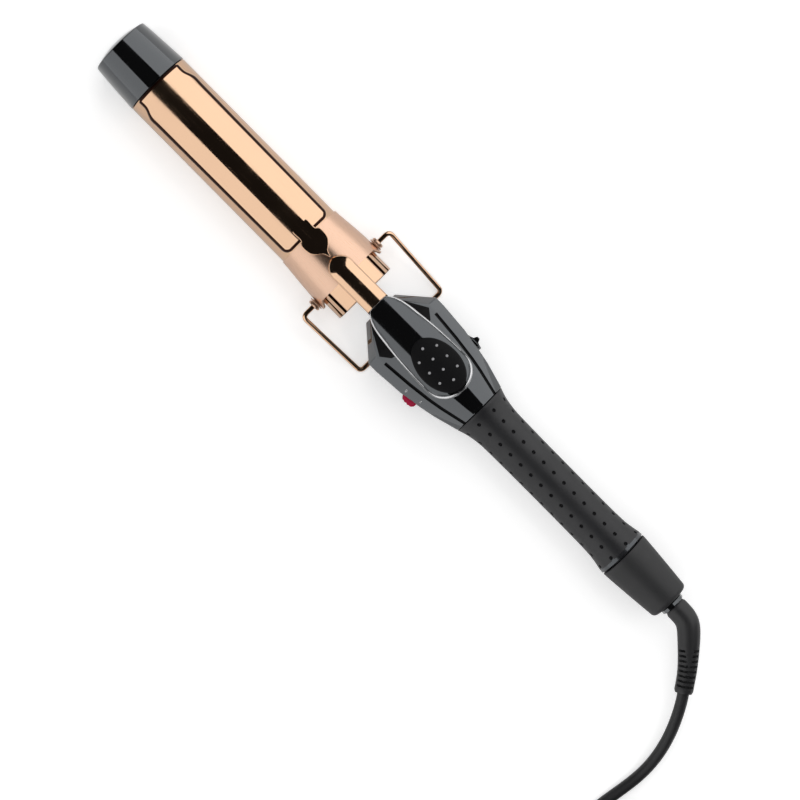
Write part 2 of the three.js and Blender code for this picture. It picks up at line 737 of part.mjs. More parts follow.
function padOutline(grow) {
  const points = arc(0, 0, 1, 0, Math.PI, 16).reverse();
  const a = PAD_LENGTH / 2 + grow;
  const b = PAD_HALF_WIDTH + grow;
  const half = points.map(([x, y]) => [PAD_START + PAD_LENGTH / 2 + a * x, b * y]);
  return [...half.slice(0, -1), ...half.slice(1).reverse().map(([x, y]) => [x, -y])];
}

const rivetPlaces = [LEVER_START + 6, LEVER_START + 18];

function thumbLever() {
  const plate = prismZ(leverOutline(0), LEVER_BASE, LEVER_TOP);
  const recess = prismZ(padOutline(GAP), LEVER_TOP - PAD_RECESS, LEVER_TOP + 1);
  const blind = LEVER_TOP - 1;
  const holes = rivetPlaces.map((u) => rodZ(LEVER_BASE - 1, blind, RIVET_RADIUS + RUNNING_GAP, [u, 0], 12));
  return raised(holes.reduce((shape, hole) => shape.subtract(hole), plate.subtract(recess)));
}

const thumbPad = () =>
  raised(prismZ(padOutline(0), LEVER_TOP - PAD_RECESS + GAP, LEVER_TOP - PAD_RECESS + GAP + PAD_THICKNESS));

// Rivets come up through the tongue into blind holes in the lever.
function leverRivet(u) {
  const tongueTop = LEVER_BASE - GAP;
  const headTop = tongueTop - LEVER_TONGUE_THICKNESS - GAP;
  const shank = rodZ(headTop, LEVER_TOP - 1 - GAP, RIVET_RADIUS - GAP, [u, 0], 12);
  return raised(rodZ(headTop - RIVET_HEAD, headTop, 2 * RIVET_RADIUS, [u, 0], 12).add(shank));
}

function drilledNeck() {
  const holes = rivetPlaces.map((u) => raised(rodZ(-10, LEVER_TOP, RIVET_RADIUS + RUNNING_GAP, [u, 0], 12)));
  return holes.reduce((shape, hole) => shape.subtract(hole), leverNeck());
}

// A leaf spring under the neck: held at its rear, its front end rests on the barrel.
function clampSpring() {
  const rest = BARREL_RADIUS + GAP / 2 + SPRING_THICKNESS / 2;
  const line = [
    leverPoint(NECK_LENGTH - 3.4, 1.35),
    leverPoint(NECK_LENGTH - 7, 1.35),
    leverPoint(NECK_LENGTH - 9, 0.9),
    leverPoint(NECK_LENGTH - 11, -0.5),
    [X_BARREL_REAR - 4.4, rest + 0.75],
    [X_BARREL_REAR - 6.2, rest + 0.1],
    [X_BARREL_REAR - 7.4, rest + 0.35],
  ].map(([x, z]) => at(x, 0, z));
  const path = new THREE.CatmullRomCurve3(line).getPoints(18);
  const h = SPRING_THICKNESS / 2;
  const upper = path.map((p) => [p.x, p.z + h]);
  const lower = path.map((p) => [p.x, p.z - h]).reverse();
  return prismY([...upper, ...lower], -SPRING_WIDTH / 2, SPRING_WIDTH / 2);
}

// ---------------------------------------------------------------- stand

function standWire() {
  const half = [
    at(X_PIVOT, WIRE_END_Y, 0),
    at(X_PIVOT, STAND_HALF_WIDTH, 0),
    at(X_CROSSBAR, STAND_FOOT_HALF_WIDTH, -CROSSBAR_DEPTH),
  ];
  const other = half.map((p) => at(p.x, -p.y, p.z)).reverse();
  return swept(circle(STAND_WIRE_RADIUS, WIRE_SIDES), rounded([...half, ...other], STAND_CORNER, 4));
}

// ---------------------------------------------------------------- housing

// Stations along the housing: [distance from the nose, half width, half width of the flat top, top, depth,
// side]. "side" is the height of the upright part of each side, above and below the tool's axis.
const R8 = GRIP_FRONT_RADIUS * Math.tan(Math.PI / 8);
const housingStations = [
  [0, 9, 5.5, 9.5, 9, 3.5],
  [14, HOUSING_HALF_WIDTH, 11.5, HOUSING_TOP, BELLY_DEPTH, 5],
  [18.9, HOUSING_HALF_WIDTH, 16, HOUSING_TOP, BELLY_DEPTH, 5.5],
  [33.3, HOUSING_HALF_WIDTH - 1.1, 14.6, HOUSING_TOP, BELLY_DEPTH, 5.6],
  [44.6, HOUSING_HALF_WIDTH - 2.9, 13.2, HOUSING_TOP, BELLY_DEPTH, 5.6],
  [51.3, HOUSING_HALF_WIDTH - 4.2, 11.4, HOUSING_TOP, BELLY_DEPTH - 0.6, 5.6],
  [HOUSING_LENGTH, GRIP_FRONT_RADIUS, R8, GRIP_FRONT_RADIUS, GRIP_FRONT_RADIUS, R8],
];

function housingSection([, w, a, top, depth, side], inset) {
  const belly = Math.min(BELLY_HALF_WIDTH, (a + w) / 2);
  return [
    [a - 0.4 * inset, top - inset],
    [w - inset, side - 0.3 * inset],
    [w - inset, -side],
    [belly - 0.4 * inset, -(depth - inset)],
  ];
}

// A prism along X whose every ring takes its own section.
function housingForm(inset, x0, x1) {
  const stations = housingStations.map(([u, ...rest]) => [X_NOSE + u, ...rest]);
  const inside = stations.filter(([x]) => x > x0 && x < x1);
  const between = (x) => {
    const next = stations.findIndex((s) => s[0] >= x);
    const [b, a] = [stations[Math.max(next, 1)], stations[Math.max(next, 1) - 1]];
    const share = (x - a[0]) / (b[0] - a[0]);
    return a.map((value, i) => value + share * (b[i] - value));
  };
  const rings = [between(x0), ...inside, between(x1)];
  const ringPoints = rings.map((ring) => {
    const right = housingSection(ring, inset);
    const left = right.map(([y, z]) => [-y, z]).reverse();
    return [...right, ...left];
  });
  const sides = ringPoints[0].length;
  const geometry = new THREE.ExtrudeGeometry(shapeOf(circle(1, sides)), {
    depth: rings.length - 1,
    steps: rings.length - 1,
    bevelEnabled: false,
  });
  const position = geometry.getAttribute("position");
  for (let i = 0; i < position.count; i++) {
    const ring = Math.round(position.getZ(i));
    const turn = Math.atan2(position.getY(i), position.getX(i)) / (2 * Math.PI);
    const corner = Math.round(((turn + 1) % 1) * sides) % sides;
    // Corners are taken clockwise as seen from the front, so that faces point out.
    const [y, z] = ringPoints[ring][(sides - corner) % sides];
    position.setXYZ(i, rings[ring][0], y, z);
  }
  return solid(geometry);
}

// The groove under the nose that the stand's crossbar folds into, grown on every side by a wall.
function crossbarGroove(grow) {
  const far = 2 * HOUSING_HALF_WIDTH;
  const front = X_CROSSBAR - STAND_WIRE_RADIUS - CROSSBAR_LEAD_IN - grow;
  const rear = X_CROSSBAR + STAND_WIRE_RADIUS + 2 * GAP + grow;
  const roof = CROSSBAR_DEPTH - STAND_WIRE_RADIUS - 1.5 * GAP - grow;
  return block([front, -far, -far], [rear, far, -roof]);
}

function housingShell() {
  const outside = housingForm(0, X_NOSE, X_GRIP - GAP);
  const cavity = housingForm(HOUSING_WALL, X_NOSE + 2 * HOUSING_WALL, X_GRIP - 1.5 * HOUSING_WALL);
  const stemHole = rod(X_NOSE - 1, X_NOSE + 3 * HOUSING_WALL, STEM_RADIUS + GAP, COARSE);
  const coreHole = rod(X_GRIP - 3 * HOUSING_WALL, X_GRIP + 1, CORE_RADIUS + GAP);
  const hollow = cavity.subtract(crossbarGroove(HOUSING_WALL));
  return outside.subtract(hollow).subtract(stemHole).subtract(coreHole).subtract(crossbarGroove(0));
}

const X_FRONT_SCREWS = X_NOSE + FRONT_SCREWS_FROM_NOSE;
const X_REAR_SCREWS = X_FRONT_SCREWS + SCREW_PITCH;
const screwPlaces = [
  [X_FRONT_SCREWS, SCREW_SPREAD],
  [X_FRONT_SCREWS, -SCREW_SPREAD],
  [X_REAR_SCREWS, SCREW_SPREAD],
  [X_REAR_SCREWS, -SCREW_SPREAD],
];
const SCREW_SEAT = -(BELLY_DEPTH - SCREW_HEAD_THICKNESS - 2 * GAP);
const SPLIT = GAP / 2;

// Flat pockets for the slide switch and the dial, and the holes through their floors.
function sideCuts() {
  const reach = 2 * HOUSING_HALF_WIDTH;
  const half = SWITCH_LENGTH / 2 + SWITCH_TRAVEL + 2 * GAP;
  const slot = SWITCH_TONGUE_LENGTH / 2 + SWITCH_TRAVEL + 2 * GAP;
  const high = SWITCH_HEIGHT / 2 + 2 * GAP;
  const thin = SWITCH_TONGUE_THICKNESS / 2 + GAP;
  return [
    block([X_SWITCH - half, -reach, -high], [X_SWITCH + half, -SIDE_POCKET_Y, high]),
    block([X_SWITCH - slot, -reach, -thin], [X_SWITCH + slot, 0, thin]),
    rodY(SIDE_POCKET_Y, reach, DIAL_RADIUS + 2 * GAP, [X_DIAL, 0], COARSE),
    rodY(0, reach, DIAL_SHAFT_RADIUS + GAP, [X_DIAL, 0], COARSE),
  ];
}

function upperHousing() {
  const far = 4 * HOUSING_LENGTH;
  const half = block([X_NOSE - 5, -far, SPLIT], [X_GRIP + 5, far, far]);
  const postTop = HOUSING_TOP - HOUSING_WALL + 0.5;
  const posts = screwPlaces.map((place) => rodZ(SPLIT, postTop, SCREW_POST_RADIUS, place, 12));
  const top = SCREW_SEAT + SCREW_LENGTH + GAP;
  const holes = screwPlaces.map((place) => rodZ(-far, top, SCREW_RADIUS + GAP, place, 12));
  const shell = sideCuts().reduce((shape, cut) => shape.subtract(cut), housingShell().intersect(half));
  const posted = posts.reduce((shape, post) => shape.add(post), shell);
  return holes.reduce((shape, hole) => shape.subtract(hole), posted);
}

function lowerHousing() {
  const far = 4 * HOUSING_LENGTH;
  const half = block([X_NOSE - 5, -far, -far], [X_GRIP + 5, far, -SPLIT]);
  const bottom = -(BELLY_DEPTH - HOUSING_WALL + 0.5);
  const posts = screwPlaces.map((place) => rodZ(bottom, -SPLIT, SCREW_POST_RADIUS, place, 12));
  const holes = screwPlaces.map((place) => rodZ(-far, far, SCREW_RADIUS + GAP, place, 12));
  const seats = screwPlaces.map((place) => rodZ(-far, SCREW_SEAT, SCREW_HEAD_RADIUS + GAP, place, 12));
  const shell = sideCuts().reduce((shape, cut) => shape.subtract(cut), housingShell().intersect(half));
  const posted = posts.reduce((shape, post) => shape.add(post), shell);
  return [...holes, ...seats].reduce((shape, hole) => shape.subtract(hole), posted);
}

function housingScrew(place) {
  const headTop = SCREW_SEAT - GAP;
  const head = rodZ(headTop - SCREW_HEAD_THICKNESS + GAP, headTop, SCREW_HEAD_RADIUS, place, 12);
  return head.add(rodZ(headTop, SCREW_SEAT + SCREW_LENGTH, SCREW_RADIUS, place, 12));
}

// ---------------------------------------------------------------- inside the housing

const BOARD_FLOOR = 2.4;
const BOARD_THICKNESS = 1.6;
const BOARD_HALF_WIDTH = 7.5;
const BOARD_FROM_NOSE = 18;
const BOARD_LENGTH = 37;

function circuitBoard() {
  const x0 = X_NOSE + BOARD_FROM_NOSE;
  const whole = block(
    [x0, -BOARD_HALF_WIDTH, BOARD_FLOOR],
    [x0 + BOARD_LENGTH, BOARD_HALF_WIDTH, BOARD_FLOOR + BOARD_THICKNESS],
  );
  const holes = screwPlaces.map((place) => rodZ(0, 10, SCREW_POST_RADIUS + GAP, place, 12));
  return holes.reduce((shape, hole) => shape.subtract(hole), whole);
}

function dialPotentiometer() {
  const outer = SIDE_ROOM_Y;
  const can = rodY(SIDE_ROOM_INNER_Y, outer, 5.2, [X_DIAL, -1], COARSE);
  return can.intersect(block([X_DIAL - 6, 0, -6.2], [X_DIAL + 6, outer, BOARD_FLOOR - GAP]))
    .subtract(rodY(outer - 2.5, outer + 1, DIAL_SHAFT_RADIUS + RUNNING_GAP, [X_DIAL, 0], COARSE));
}

function switchBody() {
  const outer = -SIDE_ROOM_Y;
  const half = SWITCH_LENGTH / 2 + SWITCH_TRAVEL + 1;
  const can = block([X_SWITCH - half, outer, -4], [X_SWITCH + half, -SIDE_ROOM_INNER_Y, BOARD_FLOOR - GAP]);
  const slot = SWITCH_TONGUE_LENGTH / 2 + SWITCH_TRAVEL + GAP;
  const thin = SWITCH_TONGUE_THICKNESS / 2 + GAP;
  return can.subtract(block([X_SWITCH - slot, outer - 1, -thin], [X_SWITCH + slot, outer + 2.5, thin]));
}

// The slide: a thumb piece on the flat of its pocket and a tongue through the slot.
function switchSlider() {
  const seat = -(SIDE_POCKET_Y + GAP);
  const top = seat - SWITCH_PROUD - GAP;
  const l = SWITCH_LENGTH / 2;
  const outline = [
    [X_SWITCH - l, seat],
    [X_SWITCH + l, seat],
    [X_SWITCH + l, top + 1.6],
    [X_SWITCH + l - 0.9, top + 0.5],
    [X_SWITCH + l - 2, top],
    [X_SWITCH - l + 2, top],
    [X_SWITCH - l + 0.9, top + 0.5],
    [X_SWITCH - l, top + 1.6],
  ];
  const thumb = prismZ(outline.reverse(), -SWITCH_HEIGHT / 2, SWITCH_HEIGHT / 2);
  const inner = -(SIDE_ROOM_Y - 1.8);
  const tongue = block(
    [X_SWITCH - SWITCH_TONGUE_LENGTH / 2, seat - 0.5, -SWITCH_TONGUE_THICKNESS / 2],
    [X_SWITCH + SWITCH_TONGUE_LENGTH / 2, inner, SWITCH_TONGUE_THICKNESS / 2],
  );
  return thumb.add(tongue);
}

// The dial: a flange with a flared fin to turn it by.
function heatDial() {
  const seat = SIDE_POCKET_Y + GAP;
  const flange = rodY(seat, seat + DIAL_FLANGE, DIAL_RADIUS, [X_DIAL, 0], 24);
  const top = seat + DIAL_FLANGE + DIAL_FIN_HEIGHT;
  const t = DIAL_FIN_THICKNESS / 2;
  const base = seat + DIAL_FLANGE - 0.2;
  const outline = [
    [X_DIAL - DIAL_RADIUS + 0.8, base],
    [X_DIAL - t - 0.5, base + 0.8],
    [X_DIAL - t, top - 0.4],
    [X_DIAL - t + 0.4, top],
    [X_DIAL + t - 0.4, top],
    [X_DIAL + t, top - 0.4],
    [X_DIAL + t + 0.5, base + 0.8],
    [X_DIAL + DIAL_RADIUS - 0.8, base],
  ];
  const fin = prismZ(outline, -DIAL_RADIUS, DIAL_RADIUS);
  const round = rodY(0, 2 * HOUSING_HALF_WIDTH, DIAL_RADIUS - 0.2, [X_DIAL, 0], 24);
  const bore = rodY(0, seat + DIAL_FLANGE - 0.4, DIAL_SHAFT_RADIUS + RUNNING_GAP, [X_DIAL, 0], COARSE);
  return flange.add(fin.intersect(round)).subtract(bore);
}

const dialShaft = () =>
  rodY(SIDE_ROOM_Y - 2.2, SIDE_POCKET_Y + DIAL_FLANGE - GAP,
    DIAL_SHAFT_RADIUS, [X_DIAL, 0], COARSE);

// A lead from the heater, through the stem, to the circuit board. It stops short of the screw posts.
function leadWire(side) {
  const y = side * 2 * LEAD_WIRE_RADIUS;
  const points = [
    at(X_INSULATOR - 2, y, 0),
    at(X_NOSE + STEM_SOCKET + 4, y, 0),
    at(X_NOSE + STEM_SOCKET + 7, 1.2 * y, 0),
    at(X_FRONT_SCREWS - SCREW_POST_RADIUS - 2 * GAP, 1.6 * y, 0),
  ];
  return swept(circle(LEAD_WIRE_RADIUS, 6), points);
}

// ---------------------------------------------------------------- grip, cone and swivel

function gripSleeve() {
  const r = GRIP_WAIST_RADIUS;
  const flare = GRIP_FRONT_RADIUS - r;
  const rise = GRIP_REAR_RADIUS - r;
  const rear = X_GRIP_REAR;
  const bore = CORE_RADIUS + GAP;
  return revolved([
    [X_GRIP, bore],
    [X_GRIP, GRIP_FRONT_RADIUS],
    [X_GRIP + 2.5, r + 0.7 * flare],
    [X_GRIP + 5.9, r + 0.41 * flare],
    [X_GRIP + 10.4, r + 0.18 * flare],
    [X_GRIP + 14.9, r + 0.08 * flare],
    [X_GRIP + 40, r],
    [rear - 18, r + 0.04 * rise],
    [rear - 9, r + 0.22 * rise],
    [rear - 4.5, r + 0.6 * rise],
    [rear - 0.9, GRIP_REAR_RADIUS],
    [rear, GRIP_REAR_RADIUS - 0.4],
    [rear, bore],
  ]);
}

const gripCore = () =>
  tube(X_GRIP - CORE_ENGAGEMENT, X_GRIP_REAR + CORE_ENGAGEMENT, CORE_RADIUS, CORE_BORE, COARSE);

function rearCone() {
  const round = 1.8;
  const end = X_CONE_REAR - GAP;
  const front = CORE_RADIUS + GAP;
  const shelf = X_GRIP_REAR + CORE_ENGAGEMENT + GAP;
  return revolved([
    [X_CONE, front],
    [X_CONE, CONE_FRONT_RADIUS],
    [end - round, CONE_REAR_RADIUS],
    [end - 0.5 * round, CONE_REAR_RADIUS - 0.25 * round],
    [end - 0.1 * round, CONE_REAR_RADIUS - 0.7 * round],
    [end, CONE_REAR_RADIUS - 1.2 * round],
    [end, SPINDLE_RADIUS + GAP],
    [end - CONE_WALL, SPINDLE_RADIUS + GAP],
    [end - CONE_WALL, CONE_REAR_RADIUS - CONE_WALL],
    [shelf, CONE_FRONT_RADIUS - 1.6 * CONE_WALL],
    [shelf, front],
  ]);
}

const X_SPINDLE = X_CONE_REAR - SPINDLE_LENGTH;

// The cup that the spindle turns in, fixed inside the cone.
function swivelSocket() {
  const inner = SPINDLE_FLANGE_RADIUS + GAP;
  const outer = CONE_REAR_RADIUS - CONE_WALL - GAP;
  const rear = X_CONE_REAR - GAP - CONE_WALL - GAP;
  const front = X_SPINDLE - 1;
  return revolved([
    [front, inner],
    [front, outer],
    [rear, outer],
    [rear, SPINDLE_RADIUS + GAP],
    [rear - 1.5, SPINDLE_RADIUS + GAP],
    [rear - 1.5, inner],
  ]);
}

function swivelSpindle() {
  const flange = X_SPINDLE + 2.4;
  return revolved([
    [X_SPINDLE, SPINDLE_BORE],
    [X_SPINDLE, SPINDLE_FLANGE_RADIUS],
    [flange, SPINDLE_FLANGE_RADIUS],
    [flange, SPINDLE_RADIUS],
    [X_EXIT, SPINDLE_RADIUS],
    [X_EXIT, SPINDLE_BORE],
  ], COARSE);
}

const contactRing = (offset) => {
  const x = X_SPINDLE + offset;
  const inner = SPINDLE_RADIUS + GAP;
  return tube(x, x + CONTACT_RING_WIDTH, inner + CONTACT_RING_THICKNESS, inner, COARSE);
};

const swivelCollar = () =>
  tube(X_CONE_REAR + GAP / 2, X_EXIT, COLLAR_RADIUS, SPINDLE_RADIUS + GAP, 12);

// ---------------------------------------------------------------- cord

// Points are measured from where the cord leaves the tool, along X and Y, and from the surface, along Z.
const fromExit = (points) => points.map(([x, y, z]) => at(X_EXIT + x, y, z));

const reliefPath = () =>
  new THREE.CatmullRomCurve3(fromExit([
    [GAP, 0, AXIS_HEIGHT],
    [4.5, 0, AXIS_HEIGHT],
    [8.4, -0.5, AXIS_HEIGHT],
    [12.2, -2.6, AXIS_HEIGHT - 0.1],
    [18.4, -8.6, AXIS_HEIGHT - 0.5],
    [25.4, -16.4, AXIS_HEIGHT - 1.2],
    [31.4, -24.6, AXIS_HEIGHT - 2.2],
  ]), false, "centripetal");

function strainRelief() {
  const path = reliefPath();
  const length = path.getLength();
  const steps = 16;
  const outer = Array.from({ length: steps + 1 }, (_, i) => {
    const u = i / steps;
    const taper = THREE.MathUtils.smoothstep(u, 0.2, 0.9);
    return [u * length, RELIEF_FRONT_RADIUS + (RELIEF_REAR_RADIUS - RELIEF_FRONT_RADIUS) * taper];
  });
  return bentAlong(revolved([[0, 0], ...outer, [length, 0]], 16), length, path);
}

// From the strain relief, down to the surface and round to the outside of the coil.
const leadRoute = () => [
  [31.6, -24.9, AXIS_HEIGHT - 2.3],
  [34.0, -28.4, AXIS_HEIGHT - 2.9],
  [36.8, -33.2, AXIS_HEIGHT - 3.9],
  [39.6, -38.8, AXIS_HEIGHT - 5.3],
  [42.2, -45.2, AXIS_HEIGHT - 7.2],
  [44.2, -52.2, AXIS_HEIGHT - 9.4],
  [45.3, -59.6, AXIS_HEIGHT - 11.4],
  [45.4, -67.0, AXIS_HEIGHT - 13.0],
  [44.6, -74.4, CORD_RADIUS + 0.9],
  [43.5, -81.8, CORD_RADIUS + 0.4],
  [42.8, -87.0, CORD_RADIUS + 0.4],
  [42.6, -91.3, CORD_RADIUS + 0.7],
];

const COIL_CENTRE = [81, -110];
const COIL_HALF = (COIL_COLUMNS * 2 * CORD_RADIUS) / 2;
const COIL_TOP = COIL_LIFT + COIL_LAYERS * 2 * CORD_RADIUS;

function cordLead() {
  const curve = new THREE.CatmullRomCurve3(fromExit(leadRoute()), false, "centripetal");
  return swept(circle(CORD_RADIUS, CORD_SIDES), curve.getSpacedPoints(14));
}

// One ring stands for all the turns.
function cordCoil() {
  const outer = COIL_TURN_RADIUS + COIL_HALF;
  const inner = COIL_TURN_RADIUS - COIL_HALF;
  const ease = 1.5;
  const half = [
    [inner + ease, COIL_LIFT],
    [outer - ease, COIL_LIFT],
    [outer, COIL_LIFT + ease],
    [outer, COIL_TOP - ease],
    [outer - ease, COIL_TOP],
    [inner + ease, COIL_TOP],
    [inner, COIL_TOP - ease],
    [inner, COIL_LIFT + ease],
    [inner + ease, COIL_LIFT],
  ];
  const geometry = new THREE.LatheGeometry(half.map(([r, z]) => new THREE.Vector2(r, z)), 32);
  geometry.rotateX(Math.PI / 2);
  const [x, y] = COIL_CENTRE;
  return solid(geometry.translate(X_EXIT + x, y, 0));
}

// A strap round the whole bundle, at one side of the coil.
function cordTie() {
  const [x, y] = COIL_CENTRE;
  const inside = COIL_TURN_RADIUS - COIL_HALF;
  const inner = Math.sqrt(inside ** 2 - (TIE_WIDTH / 2) ** 2) - GAP;
  const outer = COIL_TURN_RADIUS + COIL_HALF + GAP;
  const low = COIL_LIFT - GAP;
  const high = COIL_TOP + GAP;
  const t = TIE_THICKNESS;
  const c = 1.2;
  const loop = (g) => [
    [inner - g + c, low - g],
    [outer + g - c, low - g],
    [outer + g, low - g + c],
    [outer + g, high + g - c],
    [outer + g - c, high + g],
    [inner - g + c, high + g],
    [inner - g, high + g - c],
    [inner - g, low - g + c],
  ];
  const band = prismX(loop(t), -TIE_WIDTH / 2, TIE_WIDTH / 2)
    .subtract(prismX(loop(0), -TIE_WIDTH, TIE_WIDTH));
  const geometry = geometryOf(band);
  geometry.rotateZ(TIE_ANGLE - Math.PI / 2);
  return solid(geometry.translate(X_EXIT + x, y, 0));
}

const TIE_ANGLE = THREE.MathUtils.degToRad(100);

const PLUG_AXIS = COIL_TOP + GAP + PLUG_THICKNESS / 2;
const TAIL_STRAIGHT_X = 26.5;
const PLUG_START_Y = -1;

// From the top of the coil, rising over it, to the plug that lies on it. Points are from the coil's centre.
const tailRoute = () => [
  [-6.8, -30.6, COIL_TOP + CORD_RADIUS + 0.4],
  [-0.6, -31.2, COIL_TOP + CORD_RADIUS + 1.1],
  [5.6, -30.6, COIL_TOP + CORD_RADIUS + 1.9],
  [11.4, -28.4, COIL_TOP + CORD_RADIUS + 2.7],
  [16.6, -24.9, COIL_TOP + CORD_RADIUS + 3.3],
  [20.8, -20.3, PLUG_AXIS - 0.2],
  [24.0, -14.9, PLUG_AXIS - 0.1],
  [26.0, -9.0, PLUG_AXIS],
  [TAIL_STRAIGHT_X, -4.4, PLUG_AXIS],
  [TAIL_STRAIGHT_X, PLUG_START_Y - GAP, PLUG_AXIS],
];

const fromCoil = ([x, y, z]) => [x + COIL_CENTRE[0], y + COIL_CENTRE[1], z];

function cordTail() {
  const curve = new THREE.CatmullRomCurve3(fromExit(tailRoute().map(fromCoil)), false, "centripetal");
  return swept(circle(CORD_RADIUS, CORD_SIDES), curve.getSpacedPoints(8));
}

// The plug's pieces are built along X from its rear end and turned to lie along +Y on the coil.
function placedPlug(shape) {
  const geometry = geometryOf(shape);
  geometry.rotateZ(Math.PI / 2);
  const [x, y] = COIL_CENTRE;
  return solid(geometry.translate(X_EXIT + x + TAIL_STRAIGHT_X, y + PLUG_START_Y, PLUG_AXIS));
}

function plugRelief() {
  return placedPlug(revolved(
    [[0, 0], [0, CORD_RADIUS + 0.8], [PLUG_RELIEF_LENGTH, PLUG_RELIEF_RADIUS], [PLUG_RELIEF_LENGTH, 0]],
    16,
  ));
}

function plugBody() {
  const x0 = PLUG_RELIEF_LENGTH + GAP;
  const x1 = x0 + PLUG_LENGTH;
  const w = PLUG_WIDTH / 2;
  const t = PLUG_THICKNESS / 2;
  const c = 2.5;
  const outline = mirrored([
    [x0, PLUG_RELIEF_RADIUS + 1],
    [x0 + 5, w - 2.5],
    [x0 + 10, w],
    [x1 - 1, w],
    [x1, w - 1],
  ]);
  const section = [
    [w, -t + c], [w, t - c], [w - c, t], [-w + c, t], [-w, t - c], [-w, -t + c], [-w + c, -t], [w - c, -t],
  ];
  const side = mirrored([[x0, PLUG_RELIEF_RADIUS + 0.6], [x0 + 9, t], [x1, t]]);
  return placedPlug(
    prismX(section, x0, x1).intersect(prismZ(outline, -t, t)).intersect(prismY(side, -w, w)),
  );
}

function plugBlade(side) {
  const x0 = PLUG_RELIEF_LENGTH + GAP + PLUG_LENGTH + GAP;
  const y = (side * PLUG_BLADE_SPACING) / 2;
  const half = PLUG_BLADE_THICKNESS / 2;
  const w = PLUG_BLADE_WIDTH / 2;
  const outline = mirrored([[x0, w], [x0 + PLUG_BLADE_LENGTH - 1.2, w], [x0 + PLUG_BLADE_LENGTH, w - 1.2]]);
  const blade = prismY(outline, y - half, y + half);
  const hole = rodY(y - 1, y + 1, 1.6, [x0 + PLUG_BLADE_LENGTH - 4, 0], 12);
  return placedPlug(blade.subtract(hole));
}

// ---------------------------------------------------------------- assembly

const tool = new THREE.Group();
tool.position.z = AXIS_HEIGHT;
const lead = new THREE.Group();
const curlingIron = new THREE.Group();
curlingIron.add(tool, lead);

function add(group, name, shape, material) {
  const mesh = new THREE.Mesh(geometryOf(shape), material);
  mesh.name = name;
  group.add(mesh);
}

add(tool, "tip_cap", tipCap(), glossBlack());
add(tool, "tip_insulator", tipInsulator(), satinBlack());
add(tool, "barrel_tube", barrelTube(), roseGold());
add(tool, "heater_half_upper", heaterHalf(1), aluminium());
add(tool, "heater_half_lower", heaterHalf(-1), aluminium());
add(tool, "heating_bar", heatingBar(), ceramic());
add(tool, "thermostat", thermostat(), steel());
add(tool, "thermal_fuse", thermalFuse(), steel());
add(tool, "barrel_end_insulator", endInsulator(), satinBlack());
add(tool, "stem", stem(), steel());
add(tool, "lead_wire_live", leadWire(1), redPlastic());
add(tool, "lead_wire_neutral", leadWire(-1), satinBlack());
for (const [name, side] of [["left", 1], ["right", -1]]) {
  add(tool, `hinge_pin_${name}`, hingePin(side), roseGoldSatin());
  add(tool, `hinge_washer_${name}`, washer(side), roseGoldSatin());
}
add(tool, "clamp_blade", clampBlade(), roseGold());
const rivetX = [X_SADDLE - 0.6 * BOSS_TONGUE_LENGTH, X_SADDLE + 0.35 * BOSS_LENGTH];
add(
  tool,
  "blade_boss",
  rivetX.reduce((shape, x) => shape.subtract(bossRivetHole(x, RIVET_RADIUS)), bladeBoss()),
  roseGoldSatin(),
);
rivetX.forEach((x, i) => add(tool, `boss_rivet_${i + 1}`, bossRivet(x), roseGoldSatin()));
add(tool, "clamp_saddle", clampSaddle(), roseGoldSatin());
add(tool, "lever_neck", drilledNeck(), roseGold());
add(tool, "thumb_lever", thumbLever(), glossBlack());
add(tool, "thumb_pad", thumbPad(), rubber());
rivetPlaces.forEach((u, i) => add(tool, `lever_rivet_${i + 1}`, leverRivet(u), steel()));
add(tool, "clamp_spring", clampSpring(), steel());
add(tool, "stand_wire", standWire(), roseGold());
add(tool, "upper_housing", upperHousing(), glossBlack());
add(tool, "lower_housing", lowerHousing(), glossBlack());
screwPlaces.forEach((place, i) => add(tool, `housing_screw_${i + 1}`, housingScrew(place), steel()));
add(tool, "circuit_board", circuitBoard(), board());
add(tool, "dial_potentiometer", dialPotentiometer(), satinBlack());
add(tool, "dial_shaft", dialShaft(), satinBlack());
add(tool, "heat_dial", heatDial(), satinBlack());
add(tool, "switch_body", switchBody(), satinBlack());
add(tool, "switch_slider", switchSlider(), redPlastic());
add(tool, "grip_sleeve", gripSleeve(), rubber());
add(tool, "grip_core", gripCore(), satinBlack());
add(tool, "rear_cone", rearCone(), satinBlack());
add(tool, "swivel_socket", swivelSocket(), ceramic());
add(tool, "swivel_spindle", swivelSpindle(), satinBlack());
add(tool, "contact_ring_front", contactRing(5), brass());
add(tool, "contact_ring_rear", contactRing(10), brass());
add(tool, "swivel_collar", swivelCollar(), glossBlack());
add(lead, "strain_relief", strainRelief(), cordRubber());
add(lead, "cord_lead", cordLead(), cordRubber());
add(lead, "cord_coil", cordCoil(), cordRubber());
add(lead, "cord_tie", cordTie(), satinBlack());
add(lead, "cord_tail", cordTail(), cordRubber());
add(lead, "plug_relief", plugRelief(), cordRubber());
add(lead, "plug_body", plugBody(), cordRubber());
for (const [name, side] of [["left", 1], ["right", -1]]) {
  add(lead, `plug_blade_${name}`, plugBlade(side), brass());
}

export default curlingIron;
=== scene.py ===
"""A curling iron with a sprung clamp, a fold-out stand, a swivel cord and a coiled lead, laid out as an add-on."""

